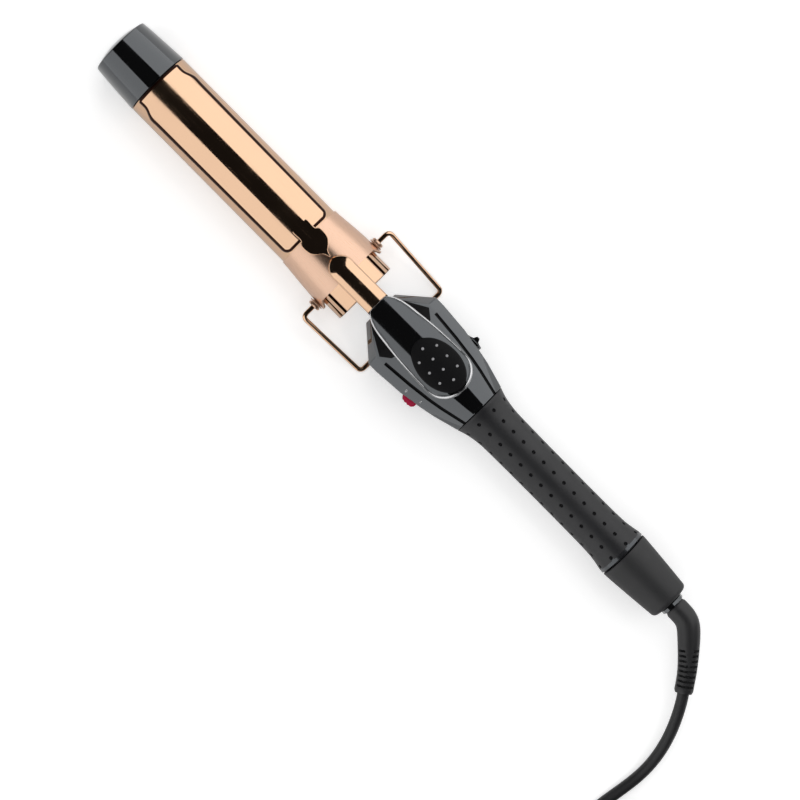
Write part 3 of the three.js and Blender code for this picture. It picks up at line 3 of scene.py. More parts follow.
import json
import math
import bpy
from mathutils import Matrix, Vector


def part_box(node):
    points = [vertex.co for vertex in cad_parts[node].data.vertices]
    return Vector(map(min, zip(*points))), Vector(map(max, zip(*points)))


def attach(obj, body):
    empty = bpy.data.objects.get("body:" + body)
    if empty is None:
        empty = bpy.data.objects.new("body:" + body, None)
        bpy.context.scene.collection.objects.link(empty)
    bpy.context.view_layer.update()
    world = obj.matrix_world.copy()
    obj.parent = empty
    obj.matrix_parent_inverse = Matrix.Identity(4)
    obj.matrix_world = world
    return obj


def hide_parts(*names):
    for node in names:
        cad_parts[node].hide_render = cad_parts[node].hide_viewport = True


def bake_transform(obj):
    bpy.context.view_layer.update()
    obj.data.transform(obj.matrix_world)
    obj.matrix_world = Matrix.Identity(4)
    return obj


bl_info = {
    "name": "Curling iron",
    "version": (1, 0, 0),
    "blender": (4, 5, 0),
    "location": "3D View > Sidebar > Curling iron",
    "description": "Builds the visible pieces of a curling iron on its CAD frame",
    "category": "Object",
}

import bmesh
import bpy
from mathutils import Matrix, Vector

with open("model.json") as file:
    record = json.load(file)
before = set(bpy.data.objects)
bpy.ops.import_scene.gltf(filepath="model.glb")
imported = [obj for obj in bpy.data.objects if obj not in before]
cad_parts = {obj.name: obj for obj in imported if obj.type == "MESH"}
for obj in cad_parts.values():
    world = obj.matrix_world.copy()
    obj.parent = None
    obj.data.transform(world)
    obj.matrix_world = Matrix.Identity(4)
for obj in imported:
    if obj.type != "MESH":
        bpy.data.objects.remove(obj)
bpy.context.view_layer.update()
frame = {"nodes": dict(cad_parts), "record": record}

# ---------------------------------------------------------------- places, in metres, read from the frame

MM = 0.001
# Further from the tool's axis than any of its pieces.
FAR = 0.04
GAP = 0.3 * MM
RUNNING_GAP = 0.25 * MM


def low(node):
    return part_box(node)[0]


def high(node):
    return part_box(node)[1]


AXIS_Z = (low("barrel_tube").z + high("barrel_tube").z) / 2
X_TIP = low("tip_cap").x
X_SEAM = low("barrel_tube").x
X_BARREL_REAR = high("barrel_tube").x
BARREL_RADIUS = high("barrel_tube").y
BARREL_WALL = 1.2 * MM
X_BLADE = low("clamp_blade").x
X_BLADE_REAR = high("clamp_blade").x
BLADE_OUTER = high("clamp_blade").z - AXIS_Z
BLADE_THICKNESS = 0.8 * MM
X_PIVOT = (low("hinge_pin_left").x + high("hinge_pin_left").x) / 2
X_SADDLE = low("clamp_saddle").x
SADDLE_THICKNESS = 0.9 * MM
SADDLE_FLARE = 0.95 * MM
EAR_RADIUS = AXIS_Z - low("clamp_saddle").z
WASHER_Y = low("hinge_washer_left").y
WASHER_THICKNESS = high("hinge_washer_left").y - WASHER_Y
WASHER_RADIUS = high("hinge_washer_left").x - X_PIVOT
PIN_HEAD_RADIUS = high("hinge_pin_left").x - X_PIVOT
PIN_OUTER = high("hinge_pin_left").y
PIN_INNER = low("hinge_pin_left").y
PIN_RADIUS = 2.2 * MM
STAND_WIRE_RADIUS = 1.1 * MM
STAND_HALF_WIDTH = high("stand_wire").y - STAND_WIRE_RADIUS
STAND_FOOT_HALF_WIDTH = 25.9 * MM
X_CROSSBAR = high("stand_wire").x - STAND_WIRE_RADIUS
CROSSBAR_Z = low("stand_wire").z + STAND_WIRE_RADIUS
X_NOSE = low("upper_housing").x
X_HOUSING_REAR = high("upper_housing").x
HOUSING_HALF_WIDTH = high("upper_housing").y
HOUSING_TOP = high("upper_housing").z - AXIS_Z
BELLY_DEPTH = AXIS_Z
HOUSING_WALL = 2 * MM
SIDE_POCKET_Y = low("heat_dial").y - GAP
X_SWITCH = (low("switch_slider").x + high("switch_slider").x) / 2
X_DIAL = (low("heat_dial").x + high("heat_dial").x) / 2
DIAL_RADIUS = high("heat_dial").x - X_DIAL
X_GRIP = low("grip_sleeve").x
X_GRIP_REAR = high("grip_sleeve").x
GRIP_FRONT_RADIUS = high("grip_sleeve").y
GRIP_WAIST_RADIUS = 10.65 * MM
GRIP_REAR_RADIUS = 12.45 * MM
CORE_RADIUS = 8 * MM
X_CONE = low("rear_cone").x
X_CONE_REAR = high("rear_cone").x
CONE_FRONT_RADIUS = high("rear_cone").y
CONE_REAR_RADIUS = 10.1 * MM
X_COLLAR = low("swivel_collar").x
X_EXIT = high("swivel_collar").x
COLLAR_RADIUS = 5.9 * MM
SPINDLE_RADIUS = 3.2 * MM

# The thumb lever's own frame: u runs along the lever from above the pivot, and h stands up from its underside.
LEVER_RISE = math.radians(12)
LEVER_Z = AXIS_Z + BLADE_OUTER - BLADE_THICKNESS + SADDLE_FLARE + SADDLE_THICKNESS + GAP
NECK_HALF_WIDTH = 5.9 * MM
NECK_HEIGHT = 4.2 * MM
NECK_NOSE = 9.6 * MM
NECK_LENGTH = 20.5 * MM
LEVER_START = NECK_LENGTH + GAP
LEVER_LENGTH = 55 * MM
LEVER_HALF_WIDTH = high("thumb_lever").y
LEVER_BASE = 2.4 * MM
LEVER_TOP = 5.6 * MM
PAD_LENGTH = 29 * MM
PAD_HALF_WIDTH = high("thumb_pad").y
PAD_CENTRE = LEVER_START + LEVER_LENGTH - 1.2 * MM - PAD_LENGTH / 2
PAD_TOP = 6.2 * MM

# The cord. Its route points repeat the CAD route, measured from where it leaves the tool, in millimetres.
CORD_RADIUS = 2.75 * MM
COIL_CENTRE = Vector((X_EXIT + 81 * MM, -110 * MM, 0))
COIL_LIFT = low("cord_coil").z
TURN_RADIUS = 31 * MM
COIL_TOP = high("cord_coil").z
PLUG_AXIS_Z = (low("plug_body").z + high("plug_body").z) / 2
PLUG_X = (low("plug_body").x + high("plug_body").x) / 2
PLUG_Y = low("plug_relief").y

RELIEF_ROUTE = [
    (0.3, 0, 17.5), (4.5, 0, 17.5), (8.4, -0.5, 17.5), (12.2, -2.6, 17.4),
    (18.4, -8.6, 17.0), (25.4, -16.4, 16.3), (31.4, -24.6, 15.3),
]
LEAD_ROUTE = [
    (34.0, -28.4, 14.6), (36.8, -33.2, 13.6), (39.6, -38.8, 12.2), (42.2, -45.2, 10.3),
    (44.2, -52.2, 8.1), (45.3, -59.6, 6.1), (45.4, -67.0, 4.5), (44.6, -74.4, 3.65),
    (43.5, -81.8, 3.15), (42.8, -87.0, 3.15), (42.6, -91.3, 3.45),
]
# From the top of the coil to the plug, measured from the coil's centre.
TAIL_ROUTE = [
    (-6.8, -30.6, 20.95), (-0.6, -31.2, 21.65), (5.6, -30.6, 22.45), (11.4, -28.4, 23.25),
    (16.6, -24.9, 23.85), (20.8, -20.3, 24.4), (24.0, -14.9, 24.5), (26.0, -9.0, 24.6),
    (26.5, -4.4, 24.6), (26.5, 3.0, 24.6),
]


# ---------------------------------------------------------------- mesh helpers


def side_name(side):
    return "left" if side > 0 else "right"


def linked(name, mesh):
    piece = bpy.data.objects.new(name, mesh)
    bpy.context.scene.collection.objects.link(piece)
    return piece


def sealed(mesh, sharp=35):
    """Merges doubles, turns the faces outwards and shades smooth between edges sharper than an angle in degrees."""
    shape = bmesh.new()
    shape.from_mesh(mesh)
    bmesh.ops.remove_doubles(shape, verts=shape.verts, dist=1e-7)
    bmesh.ops.dissolve_degenerate(shape, dist=1e-8, edges=shape.edges)
    bmesh.ops.recalc_face_normals(shape, faces=shape.faces)
    shape.to_mesh(mesh)
    shape.free()
    mesh.shade_smooth()
    mesh.set_sharp_from_angle(angle=math.radians(sharp))


def solid(name, points, faces, sharp=35):
    mesh = bpy.data.meshes.new(name)
    mesh.from_pydata([tuple(p) for p in points], [], faces)
    sealed(mesh, sharp)
    return linked(name, mesh)


def lofted(name, rings, round_trip=False, sharp=35):
    """A skin over rings of points, closed by its end rings, or joined from the last ring to the first."""
    count = len(rings[0])
    points = [p for ring in rings for p in ring]
    steps = len(rings) if round_trip else len(rings) - 1
    faces = []
    for i in range(steps):
        here = i * count
        there = (i + 1) % len(rings) * count
        for j in range(count):
            k = (j + 1) % count
            faces.append((here + j, here + k, there + k, there + j))
    if not round_trip:
        faces.append(tuple(range(count)))
        faces.append(tuple(range((len(rings) - 1) * count, len(rings) * count)))
    return solid(name, points, faces, sharp)


def turned(name, outline, sides=96, sharp=30):
    """A solid of revolution about the tool's axis, from (x, radius) points that start and end on the axis."""
    on_axis = outline[0][1] == 0 and outline[-1][1] == 0
    rings = [
        [
            (x, r * math.cos(2 * math.pi * i / sides), AXIS_Z + r * math.sin(2 * math.pi * i / sides))
            for i in range(sides)
        ]
        for x, r in outline
    ]
    return lofted(name, rings, not on_axis, sharp)


def moved(piece, matrix):
    piece.data.transform(matrix)
    return piece


def on_hinge(piece, side):
    """Turns a piece built along X so that it points out sideways at the hinge."""
    lift = Matrix.Translation((X_PIVOT, 0, AXIS_Z))
    return moved(piece, lift @ Matrix.Rotation(side * math.pi / 2, 4, "Z") @ Matrix.Translation((0, 0, -AXIS_Z)))


def block(name, lowest, highest):
    shape = bmesh.new()
    bmesh.ops.create_cube(shape, size=1)
    size = Vector(highest) - Vector(lowest)
    middle = (Vector(highest) + Vector(lowest)) / 2
    bmesh.ops.transform(shape, matrix=Matrix.Translation(middle) @ Matrix.Diagonal((*size, 1)), verts=shape.verts)
    mesh = bpy.data.meshes.new(name)
    shape.to_mesh(mesh)
    shape.free()
    return linked(name, mesh)


def rod(name, start, end, radius, sides=48):
    start, end = Vector(start), Vector(end)
    along = (end - start).normalized()
    across = along.orthogonal().normalized()
    other = along.cross(across)
    rings = []
    for centre in (start, end):
        turns = [2 * math.pi * i / sides for i in range(sides)]
        rings.append([centre + radius * (math.cos(a) * across + math.sin(a) * other) for a in turns])
    return lofted(name, rings)


def prism(name, outline, lowest, highest, place):
    """An outline of (a, b) points pulled from one level to another; place gives the point for (a, b, level)."""
    rings = [[place(a, b, level) for a, b in outline] for level in (lowest, highest)]
    return lofted(name, rings)


def along_y(a, b, level):
    return (a, level, AXIS_Z + b)


def along_z(a, b, level):
    return (a, b, level)


def applied(piece, sharp=35):
    """Turns a piece with modifiers into the plain mesh that they give."""
    graph = bpy.context.evaluated_depsgraph_get()
    graph.update()
    old = piece.data
    mesh = bpy.data.meshes.new_from_object(piece.evaluated_get(graph))
    piece.modifiers.clear()
    piece.data = mesh
    mesh.name = piece.name
    bpy.data.meshes.remove(old)
    sealed(mesh, sharp)
    return piece


def softened(piece, width, segments=2, angle=25, sharp=35):
    """Rounds the edges that are sharper than an angle in degrees."""
    bevel = piece.modifiers.new("edges", "BEVEL")
    bevel.width = width
    bevel.segments = segments
    bevel.limit_method = "ANGLE"
    bevel.angle_limit = math.radians(angle)
    bevel.use_clamp_overlap = True
    return applied(piece, sharp)


def cut(piece, tool, operation="DIFFERENCE", sharp=35):
    boolean = piece.modifiers.new("cut", "BOOLEAN")
    boolean.operation = operation
    boolean.solver = "EXACT"
    boolean.object = tool
    applied(piece, sharp)
    bpy.data.objects.remove(tool)
    return piece


def joined(piece, *others):
    shape = bmesh.new()
    shape.from_mesh(piece.data)
    for other in others:
        shape.from_mesh(other.data)
        bpy.data.objects.remove(other)
    shape.to_mesh(piece.data)
    shape.free()
    piece.data.shade_smooth()
    piece.data.set_sharp_from_angle(angle=math.radians(35))
    return piece


def arc(centre, radius, start, end, steps):
    """Points on an arc, with its angles in degrees."""
    out = []
    for i in range(steps + 1):
        a = math.radians(start + (end - start) * i / steps)
        out.append((centre[0] + radius * math.cos(a), centre[1] + radius * math.sin(a)))
    return out


def eased(value, start, end):
    t = min(max((value - start) / (end - start), 0), 1)
    return t * t * (3 - 2 * t)


def smooth_route(points, step):
    """A Catmull-Rom curve through the points, as points about a step apart."""
    ends = [2 * points[0] - points[1], *points, 2 * points[-1] - points[-2]]
    out = []
    for i in range(1, len(ends) - 2):
        a, b, c, d = ends[i - 1 : i + 3]
        count = max(1, round((c - b).length / step))
        for k in range(count):
            t = k / count
            out.append(
                0.5 * (2 * b + (c - a) * t + (2 * a - 5 * b + 4 * c - d) * t**2 + (3 * b - a - 3 * c + d) * t**3)
            )
    return [*out, points[-1]]


def tube_along(name, route, radius_at, sides=12):
    """A tube with one ring at each point; the rings keep their sides level, so that the tube isn't twisted."""
    rings = []
    for i, point in enumerate(route):
        before = route[max(i - 1, 0)]
        after = route[min(i + 1, len(route) - 1)]
        along = (after - before).normalized()
        across = Vector((0, 0, 1)).cross(along)
        across = (across if across.length > 0.05 else Vector((0, 1, 0))).normalized()
        up = along.cross(across)
        r = radius_at(i / (len(route) - 1))
        turns = [2 * math.pi * k / sides for k in range(sides)]
        rings.append([point + r * (math.cos(a) * across + math.sin(a) * up) for a in turns])
    return lofted(name, rings, sharp=50)


def plate(name, outline, top, bottom, place, columns=90, rows=32):
    """A closed plate with a mirrored outline, given by its half width at u. Its two faces have the same grid."""
    start, end, half_width = outline
    points, faces = [], []
    wide = 2 * (rows + 1)
    for i in range(columns + 1):
        u = start + (end - start) * (1 - math.cos(math.pi * i / columns)) / 2
        across = [half_width(u) * math.sin(math.pi / 2 * (2 * k / rows - 1)) for k in range(rows + 1)]
        points += [place(u, v, top(u, v)) for v in across]
        points += [place(u, v, bottom(u, v)) for v in reversed(across)]
    for i in range(columns):
        for j in range(wide):
            k = (j + 1) % wide
            faces.append((i * wide + j, i * wide + k, (i + 1) * wide + k, (i + 1) * wide + j))
    for base in (0, columns * wide):
        faces += [(base + k, base + k + 1, base + wide - 2 - k, base + wide - 1 - k) for k in range(rows)]
    return solid(name, points, faces, sharp=40)


def width_table(points):
    """The half width at u, on a smooth curve through a list of (u, half width) points."""
    slopes = []
    for i in range(len(points)):
        (ua, wa), (ub, wb) = points[max(i - 1, 0)], points[min(i + 1, len(points) - 1)]
        slopes.append((wb - wa) / (ub - ua))

    def half_width(u):
        for i, ((a, wa), (b, wb)) in enumerate(zip(points, points[1:])):
            if u <= b:
                h = b - a
                t = min(max((u - a) / h, 0), 1)
                return ((1 + 2 * t) * (1 - t) ** 2 * wa + t * (1 - t) ** 2 * h * slopes[i]
                        + t * t * (3 - 2 * t) * wb + t * t * (t - 1) * h * slopes[i + 1])
        return points[-1][1]

    return half_width


def in_mm(start, *points):
    """Millimetre pairs as metres, with the first of each pair measured from a start."""
    return [(start + u * MM, w * MM) for u, w in points]


def lever_place(u, v, h):
    """A point of the lever's own frame, in the row frame."""
    c, s = math.cos(LEVER_RISE), math.sin(LEVER_RISE)
    return (X_PIVOT + u * c - h * s, v, LEVER_Z + u * s + h * c)


# ---------------------------------------------------------------- node helpers


def socket_of(value):
    """A node stands for its first output; a socket stands for itself."""
    return value.outputs[0] if isinstance(value, bpy.types.Node) else value


def wired(tree, kind, values=None, **settings):
    """A node with its settings, and its inputs set to values or linked to nodes or sockets."""
    node = tree.nodes.new(kind)
    for key, value in settings.items():
        setattr(node, key, value)
    for key, value in (values or {}).items():
        if isinstance(value, (bpy.types.Node, bpy.types.NodeSocket)):
            tree.links.new(socket_of(value), node.inputs[key])
        else:
            node.inputs[key].default_value = value
    return node


def group_sockets(tree, inputs, outputs):
    for name, kind, default in inputs:
        socket = tree.interface.new_socket(name, in_out="INPUT", socket_type=kind)
        if default is not None:
            socket.default_value = default
    for name, kind in outputs:
        tree.interface.new_socket(name, in_out="OUTPUT", socket_type=kind)


def grain_group():
    """Fine grain and soft mottling of a surface."""
    tree = bpy.data.node_groups.new("grain", "ShaderNodeTree")
    group_sockets(
        tree,
        [("Size", "NodeSocketFloat", 2000.0), ("Mottle Size", "NodeSocketFloat", 60.0)],
        [("Height", "NodeSocketFloat"), ("Mottle", "NodeSocketFloat")],
    )
    given = wired(tree, "NodeGroupInput")
    place = wired(tree, "ShaderNodeTexCoord").outputs["Object"]
    fine = wired(tree, "ShaderNodeTexNoise", {
        "Vector": place, "Scale": given.outputs["Size"], "Detail": 4.0, "Roughness": 0.6})
    broad = wired(tree, "ShaderNodeTexNoise", {
        "Vector": place, "Scale": given.outputs["Mottle Size"], "Detail": 3.0})
    wired(tree, "NodeGroupOutput", {"Height": fine, "Mottle": broad})
    return tree


def handling_group():
    """Marks of use: hairline scratches in two directions, and the cloudy film that fingers leave."""
    tree = bpy.data.node_groups.new("handling", "ShaderNodeTree")
    group_sockets(
        tree,
        [("Scratch Length", "NodeSocketFloat", 40.0), ("Film Size", "NodeSocketFloat", 45.0)],
        [("Scratches", "NodeSocketFloat"), ("Film", "NodeSocketFloat")],
    )
    given = wired(tree, "NodeGroupInput")
    place = wired(tree, "ShaderNodeTexCoord").outputs["Object"]
    lines = []
    for turn, stretch in ((0.35, 38.0), (-0.9, 30.0)):
        laid = wired(tree, "ShaderNodeMapping", {
            "Vector": place, "Rotation": (0.2, 0.1, turn), "Scale": (1.0, stretch, stretch)})
        noise = wired(tree, "ShaderNodeTexNoise", {
            "Vector": laid, "Scale": given.outputs["Scratch Length"], "Detail": 2.0})
        lines.append(wired(tree, "ShaderNodeMapRange", {
            "Value": noise, "From Min": 0.66, "From Max": 0.72}))
    both = wired(tree, "ShaderNodeMath", {0: lines[0], 1: lines[1]},
                 operation="MAXIMUM")
    cloud = wired(tree, "ShaderNodeTexNoise", {
        "Vector": place, "Scale": given.outputs["Film Size"], "Detail": 5.0, "Roughness": 0.6})
    film = wired(tree, "ShaderNodeMapRange", {
        "Value": cloud, "From Min": 0.45, "From Max": 0.75})
    wired(tree, "NodeGroupOutput", {"Scratches": both, "Film": film})
    return tree


def placed_group(tree, make, name, values):
    """The outputs of a shared group, which is made when it is first asked for."""
    group = bpy.data.node_groups.get(name) or make()
    return wired(tree, "ShaderNodeGroup", values, node_tree=group).outputs


def grain_of(tree, size, mottle_size):
    return placed_group(tree, grain_group, "grain", {"Size": size, "Mottle Size": mottle_size})


def marks_of(tree, scratch_length, film_size):
    return placed_group(tree, handling_group, "handling", {
        "Scratch Length": scratch_length, "Film Size": film_size})


def blended(tree, factor, first, second):
    """A colour between two, by a factor socket."""
    mix = tree.nodes.new("ShaderNodeMix")
    mix.data_type = "RGBA"
    tree.links.new(socket_of(factor), mix.inputs["Factor"])
    mix.inputs["A"].default_value = (*first, 1)
    mix.inputs["B"].default_value = (*second, 1)
    return mix.outputs["Result"]


def ranged(tree, value, lowest, highest, start=0.0, end=1.0):
    node = wired(tree, "ShaderNodeMapRange", {
        "Value": value, "From Min": start, "From Max": end, "To Min": lowest, "To Max": highest})
    return node.outputs["Result"]


def raised(tree, height, strength, distance):
    node = wired(tree, "ShaderNodeBump", {"Height": height, "Strength": strength, "Distance": distance})
    return node.outputs["Normal"]


# ---------------------------------------------------------------- materials


# Keeps a finish's name clear of the plain material of the same slot that the frame brings.
FINISH_MARK = "_finish"


def shader_of(name, **fixed):
    """A new material's tree and its shader, with values that are the same all over set on the shader."""
    material = bpy.data.materials.new(name + FINISH_MARK)
    material.use_nodes = True
    tree = material.node_tree
    shader = tree.nodes["Principled BSDF"]
    for key, value in fixed.items():
        shader.inputs[key.replace("_", " ")].default_value = value
    return material, tree, shader


def feed(tree, shader, **sources):
    for key, value in sources.items():
        tree.links.new(value, shader.inputs[key.replace("_", " ")])


def darker(colour, share):
    return tuple(c * share for c in colour)


def polished_metal(name, colour, smooth=0.07, worn=0.2):
    """Plated metal with hairline scratches and a faint film."""
    material, tree, shader = shader_of(name, Metallic=1.0)
    marks = marks_of(tree, 30.0, 38.0)
    grain = grain_of(tree, 900.0, 30.0)
    mix = wired(tree, "ShaderNodeMath", {0: marks["Scratches"], 1: marks["Film"]},
                operation="MAXIMUM")
    feed(tree, shader,
         Base_Color=blended(tree, grain["Mottle"], darker(colour, 0.95), colour),
         Roughness=ranged(tree, mix, smooth, worn),
         Normal=raised(tree, marks["Scratches"], 0.05, 0.02 * MM))
    return material


def brushed_metal(name, colour, smooth=0.28, stretch=60.0):
    """Satin metal, brushed along its length."""
    material, tree, shader = shader_of(name, Metallic=1.0)
    place = wired(tree, "ShaderNodeTexCoord").outputs["Object"]
    laid = wired(tree, "ShaderNodeMapping", {
        "Vector": place, "Scale": (1.0, stretch, stretch)})
    hairs = wired(tree, "ShaderNodeTexNoise", {"Vector": laid, "Scale": 60.0, "Detail": 3.0})
    feed(tree, shader,
         Base_Color=blended(tree, hairs, darker(colour, 0.9), colour),
         Roughness=ranged(tree, hairs, smooth - 0.06, smooth + 0.08),
         Normal=raised(tree, hairs, 0.12, 0.02 * MM))
    return material


def gloss_plastic(name, colour, smooth=0.06, coat=1.0):
    """Moulded gloss plastic with fine scratches and a film of handling."""
    # The cool blue tint of the reflections is painted: it stands in for the colour of the light that the plastic
    # mirrors.
    material, tree, shader = shader_of(name, Coat_Weight=coat, Coat_Roughness=0.03, IOR=1.75,
                                       Specular_Tint=(0.86, 0.93, 1.0, 1.0))
    marks = marks_of(tree, 36.0, 50.0)
    grain = grain_of(tree, 700.0, 45.0)
    feed(tree, shader,
         Base_Color=blended(tree, grain["Mottle"], darker(colour, 0.8), colour),
         Roughness=ranged(tree, marks["Film"], smooth, smooth + 0.1),
         Normal=raised(tree, marks["Scratches"], 0.04, 0.02 * MM))
    return material


def grained_plastic(name, colour, smooth=0.5, size=2600.0, height=0.03, shine=0.5):
    """Moulded plastic or rubber with a spark-eroded grain."""
    material, tree, shader = shader_of(name, IOR=1.5, Specular_IOR_Level=shine)
    grain = grain_of(tree, size, 70.0)
    marks = marks_of(tree, 30.0, 60.0)
    feed(tree, shader,
         Base_Color=blended(tree, grain["Mottle"], darker(colour, 0.82), darker(colour, 1.12)),
         Roughness=ranged(tree, marks["Film"], smooth, smooth - 0.1),
         Normal=raised(tree, grain["Height"], 0.5, height * MM))
    return material


def woven_strap(name, colour):
    """The looped face of a hook-and-loop strap."""
    material, tree, shader = shader_of(name, Sheen_Weight=0.35, Sheen_Roughness=0.5)
    place = wired(tree, "ShaderNodeTexCoord").outputs["Object"]
    loops = wired(tree, "ShaderNodeTexVoronoi", {"Vector": place, "Scale": 1900.0})
    grain = grain_of(tree, 1500.0, 90.0)
    feed(tree, shader,
         Base_Color=blended(tree, loops, colour, darker(colour, 0.45)),
         Roughness=ranged(tree, grain["Mottle"], 0.8, 0.95),
         Normal=raised(tree, loops, 0.8, 0.15 * MM))
    return material


# Each finish: how it is made, its colour or the setting that holds it, and the rest of what its maker takes.
FINISHES = {
    "gloss_black": (gloss_plastic, "black"),
    "rose_gold": (polished_metal, "rose_gold"),
    "rose_gold_satin": (brushed_metal, "rose_gold_satin"),
    "grip_rubber": (grained_plastic, "rubber", 0.46, 2400.0, 0.05),
    "satin_black": (grained_plastic, "satin", 0.42, 3000.0, 0.02),
    "switch_red": (gloss_plastic, "red", 0.16, 0.3),
    "steel": (brushed_metal, (0.56, 0.56, 0.57)),
    "aluminium": (brushed_metal, (0.66, 0.66, 0.67), 0.36),
    "ceramic": (grained_plastic, (0.78, 0.75, 0.68), 0.55, 1500.0, 0.02),
    "board_green": (gloss_plastic, (0.02, 0.13, 0.06), 0.2, 0.2),
    "brass": (polished_metal, (0.72, 0.53, 0.24), 0.14, 0.3),
    "cord_rubber": (grained_plastic, "cord", 0.45, 1800.0, 0.03),
    "tie_black": (woven_strap, (0.03, 0.03, 0.033)),
    # This near-black is the pad's own colour, and also paints shade in the grip's dimples, the crown's grooves and
    # the cheeks beside the lever.
    "pad_black": (grained_plastic, (0.004, 0.004, 0.0045), 0.6, 2400.0, 0.02, 0.15),
    # This silver on the thumb lever's rim is a painted highlight along its rounded edge.
    "rim_silver": (brushed_metal, (0.72, 0.72, 0.73), 0.2),
    # A dark bronze that paints shade: a painted shadow and dark reflection along the clamp blade's edge, and painted
    # shade in the creases behind the hinge.
    "burnt_edge": (brushed_metal, (0.03, 0.012, 0.008), 0.4),
    "ring_black": (gloss_plastic, "rubber", 0.2, 0.4),
    # This grey on the pad's studs is a painted highlight, standing in for their glints.
    "stud_grey": (grained_plastic, (0.30, 0.30, 0.31), 0.35, 2400.0, 0.01),
    "cone_black": (grained_plastic, (0.019, 0.019, 0.020), 0.55, 2600.0, 0.03),
    "label_white": (grained_plastic, (0.75, 0.75, 0.74), 0.5, 3000.0, 0.01),
}


def finish_named(name):
    """A finish's material, which is made when it is first asked for."""
    maker, colour, *rest = FINISHES[name]
    if isinstance(colour, str):
        colour = getattr(settings(), colour)[:]
    return bpy.data.materials.get(name + FINISH_MARK) or maker(name, colour, *rest)


def fitted(piece, body, finish, *nodes, slot=True, second=()):
    """Gives a finished piece its material and its body, and hides the CAD nodes that it stands for.

    second lists (finish, test) pairs: the faces that pass a test take its finish.
    """
    piece.data.materials.clear()
    piece.data.materials.append(finish_named(finish))
    for index, (other, test) in enumerate(second, 1):
        piece.data.materials.append(finish_named(other))
        for face in piece.data.polygons:
            if test(face.center, face.normal):
                face.material_index = index
    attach(piece, body)
    if nodes:
        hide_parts(*nodes)
    if slot:
        finish if slot is True else slot
    return piece


# ---------------------------------------------------------------- settings


def colour_setting(name, about, default):
    return bpy.props.FloatVectorProperty(
        name=name, description=about, subtype="COLOR", default=default, min=0, max=1)


def length_setting(name, about, default, lowest, highest):
    return bpy.props.FloatProperty(
        name=name, description=about, unit="LENGTH", default=default * MM, min=lowest * MM, max=highest * MM)


def count_setting(name, about, default, lowest, highest):
    return bpy.props.IntProperty(name=name, description=about, default=default, min=lowest, max=highest)


class CurlingIronSettings(bpy.types.PropertyGroup):
    """Colours and sizes that a user may change"""

    rose_gold: colour_setting("Rose gold", "Colour of the polished barrel and clamp", (0.79, 0.52, 0.345))
    rose_gold_satin: colour_setting("Satin rose gold", "Colour of the clamp's satin saddle", (0.80, 0.53, 0.385))
    black: colour_setting("Gloss black", "Colour of the housing, lever and tip", (0.003, 0.003, 0.0032))
    rubber: colour_setting("Grip rubber", "Colour of the grip", (0.0135, 0.0135, 0.015))
    satin: colour_setting("Satin black", "Colour of the inner plastic parts", (0.02, 0.02, 0.021))
    red: colour_setting("Switch red", "Colour of the slide switch", (0.5, 0.012, 0.06))
    cord: colour_setting("Cord", "Colour of the cord and the plug", (0.016, 0.016, 0.017))
    edge_radius: length_setting("Edge radius", "Radius of the housing's edges", 0.45, 0.05, 1)
    crown: length_setting("Lever crown", "Radius of the thumb lever's rounded top", 22, 20, 200)
    dimple_rows: count_setting("Dimple rows", "Rows of dimples round the grip", 8, 3, 16)
    dimple_columns: count_setting("Dimples in a row", "Dimples along each row", 14, 2, 16)
    dimple_pitch: length_setting("Dimple pitch", "Distance between dimples along the grip", 6.44, 3, 8)
    dimple_radius: length_setting("Dimple radius", "Radius of each dimple at the surface", 0.95, 0.3, 2)
    slot_count: count_setting("Slots", "Slots along each side of the strain relief", 8, 2, 12)


def settings():
    return bpy.context.scene.curling_iron


# ---------------------------------------------------------------- geometry nodes


def node_tree(name, inputs):
    """A new tree, its inputs, and what makes its nodes, its sums and its points."""
    tree = bpy.data.node_groups.new(name, "GeometryNodeTree")
    group_sockets(tree, [("Geometry", "NodeSocketGeometry", None), *inputs], [("Geometry", "NodeSocketGeometry")])

    def node(kind, values=None, **settings):
        return wired(tree, "GeometryNode" + kind, values, **settings)

    def maths(operation, a, b=0.0):
        return wired(tree, "ShaderNodeMath", {0: a, 1: b}, operation=operation)

    def point(x, y, z):
        return wired(tree, "ShaderNodeCombineXYZ", {"X": x, "Y": y, "Z": z})

    return tree, wired(tree, "NodeGroupInput").outputs, node, maths, point


def closed_tree(tree, geometry, given):
    """Ends a tree in Realize Instances and Set Material."""
    real = wired(tree, "GeometryNodeRealizeInstances", {"Geometry": geometry})
    painted = wired(tree, "GeometryNodeSetMaterial", {"Geometry": real, "Material": given["Material"]})
    wired(tree, "NodeGroupOutput", {"Geometry": painted})


def grown(piece, tree, values):
    """Runs a tree on a piece with its inputs set, and keeps the plain mesh that it gives."""
    modifier = piece.modifiers.new(tree.name, "NODES")
    modifier.node_group = tree
    for item in tree.interface.items_tree:
        if item.in_out == "INPUT" and item.name in values:
            modifier[item.identifier] = values[item.name]
    return applied(piece)


def together(tree, *parts):
    """The geometries of several nodes as one."""
    join = wired(tree, "GeometryNodeJoinGeometry")
    for part in parts:
        tree.links.new(socket_of(part), join.inputs["Geometry"])
    return join


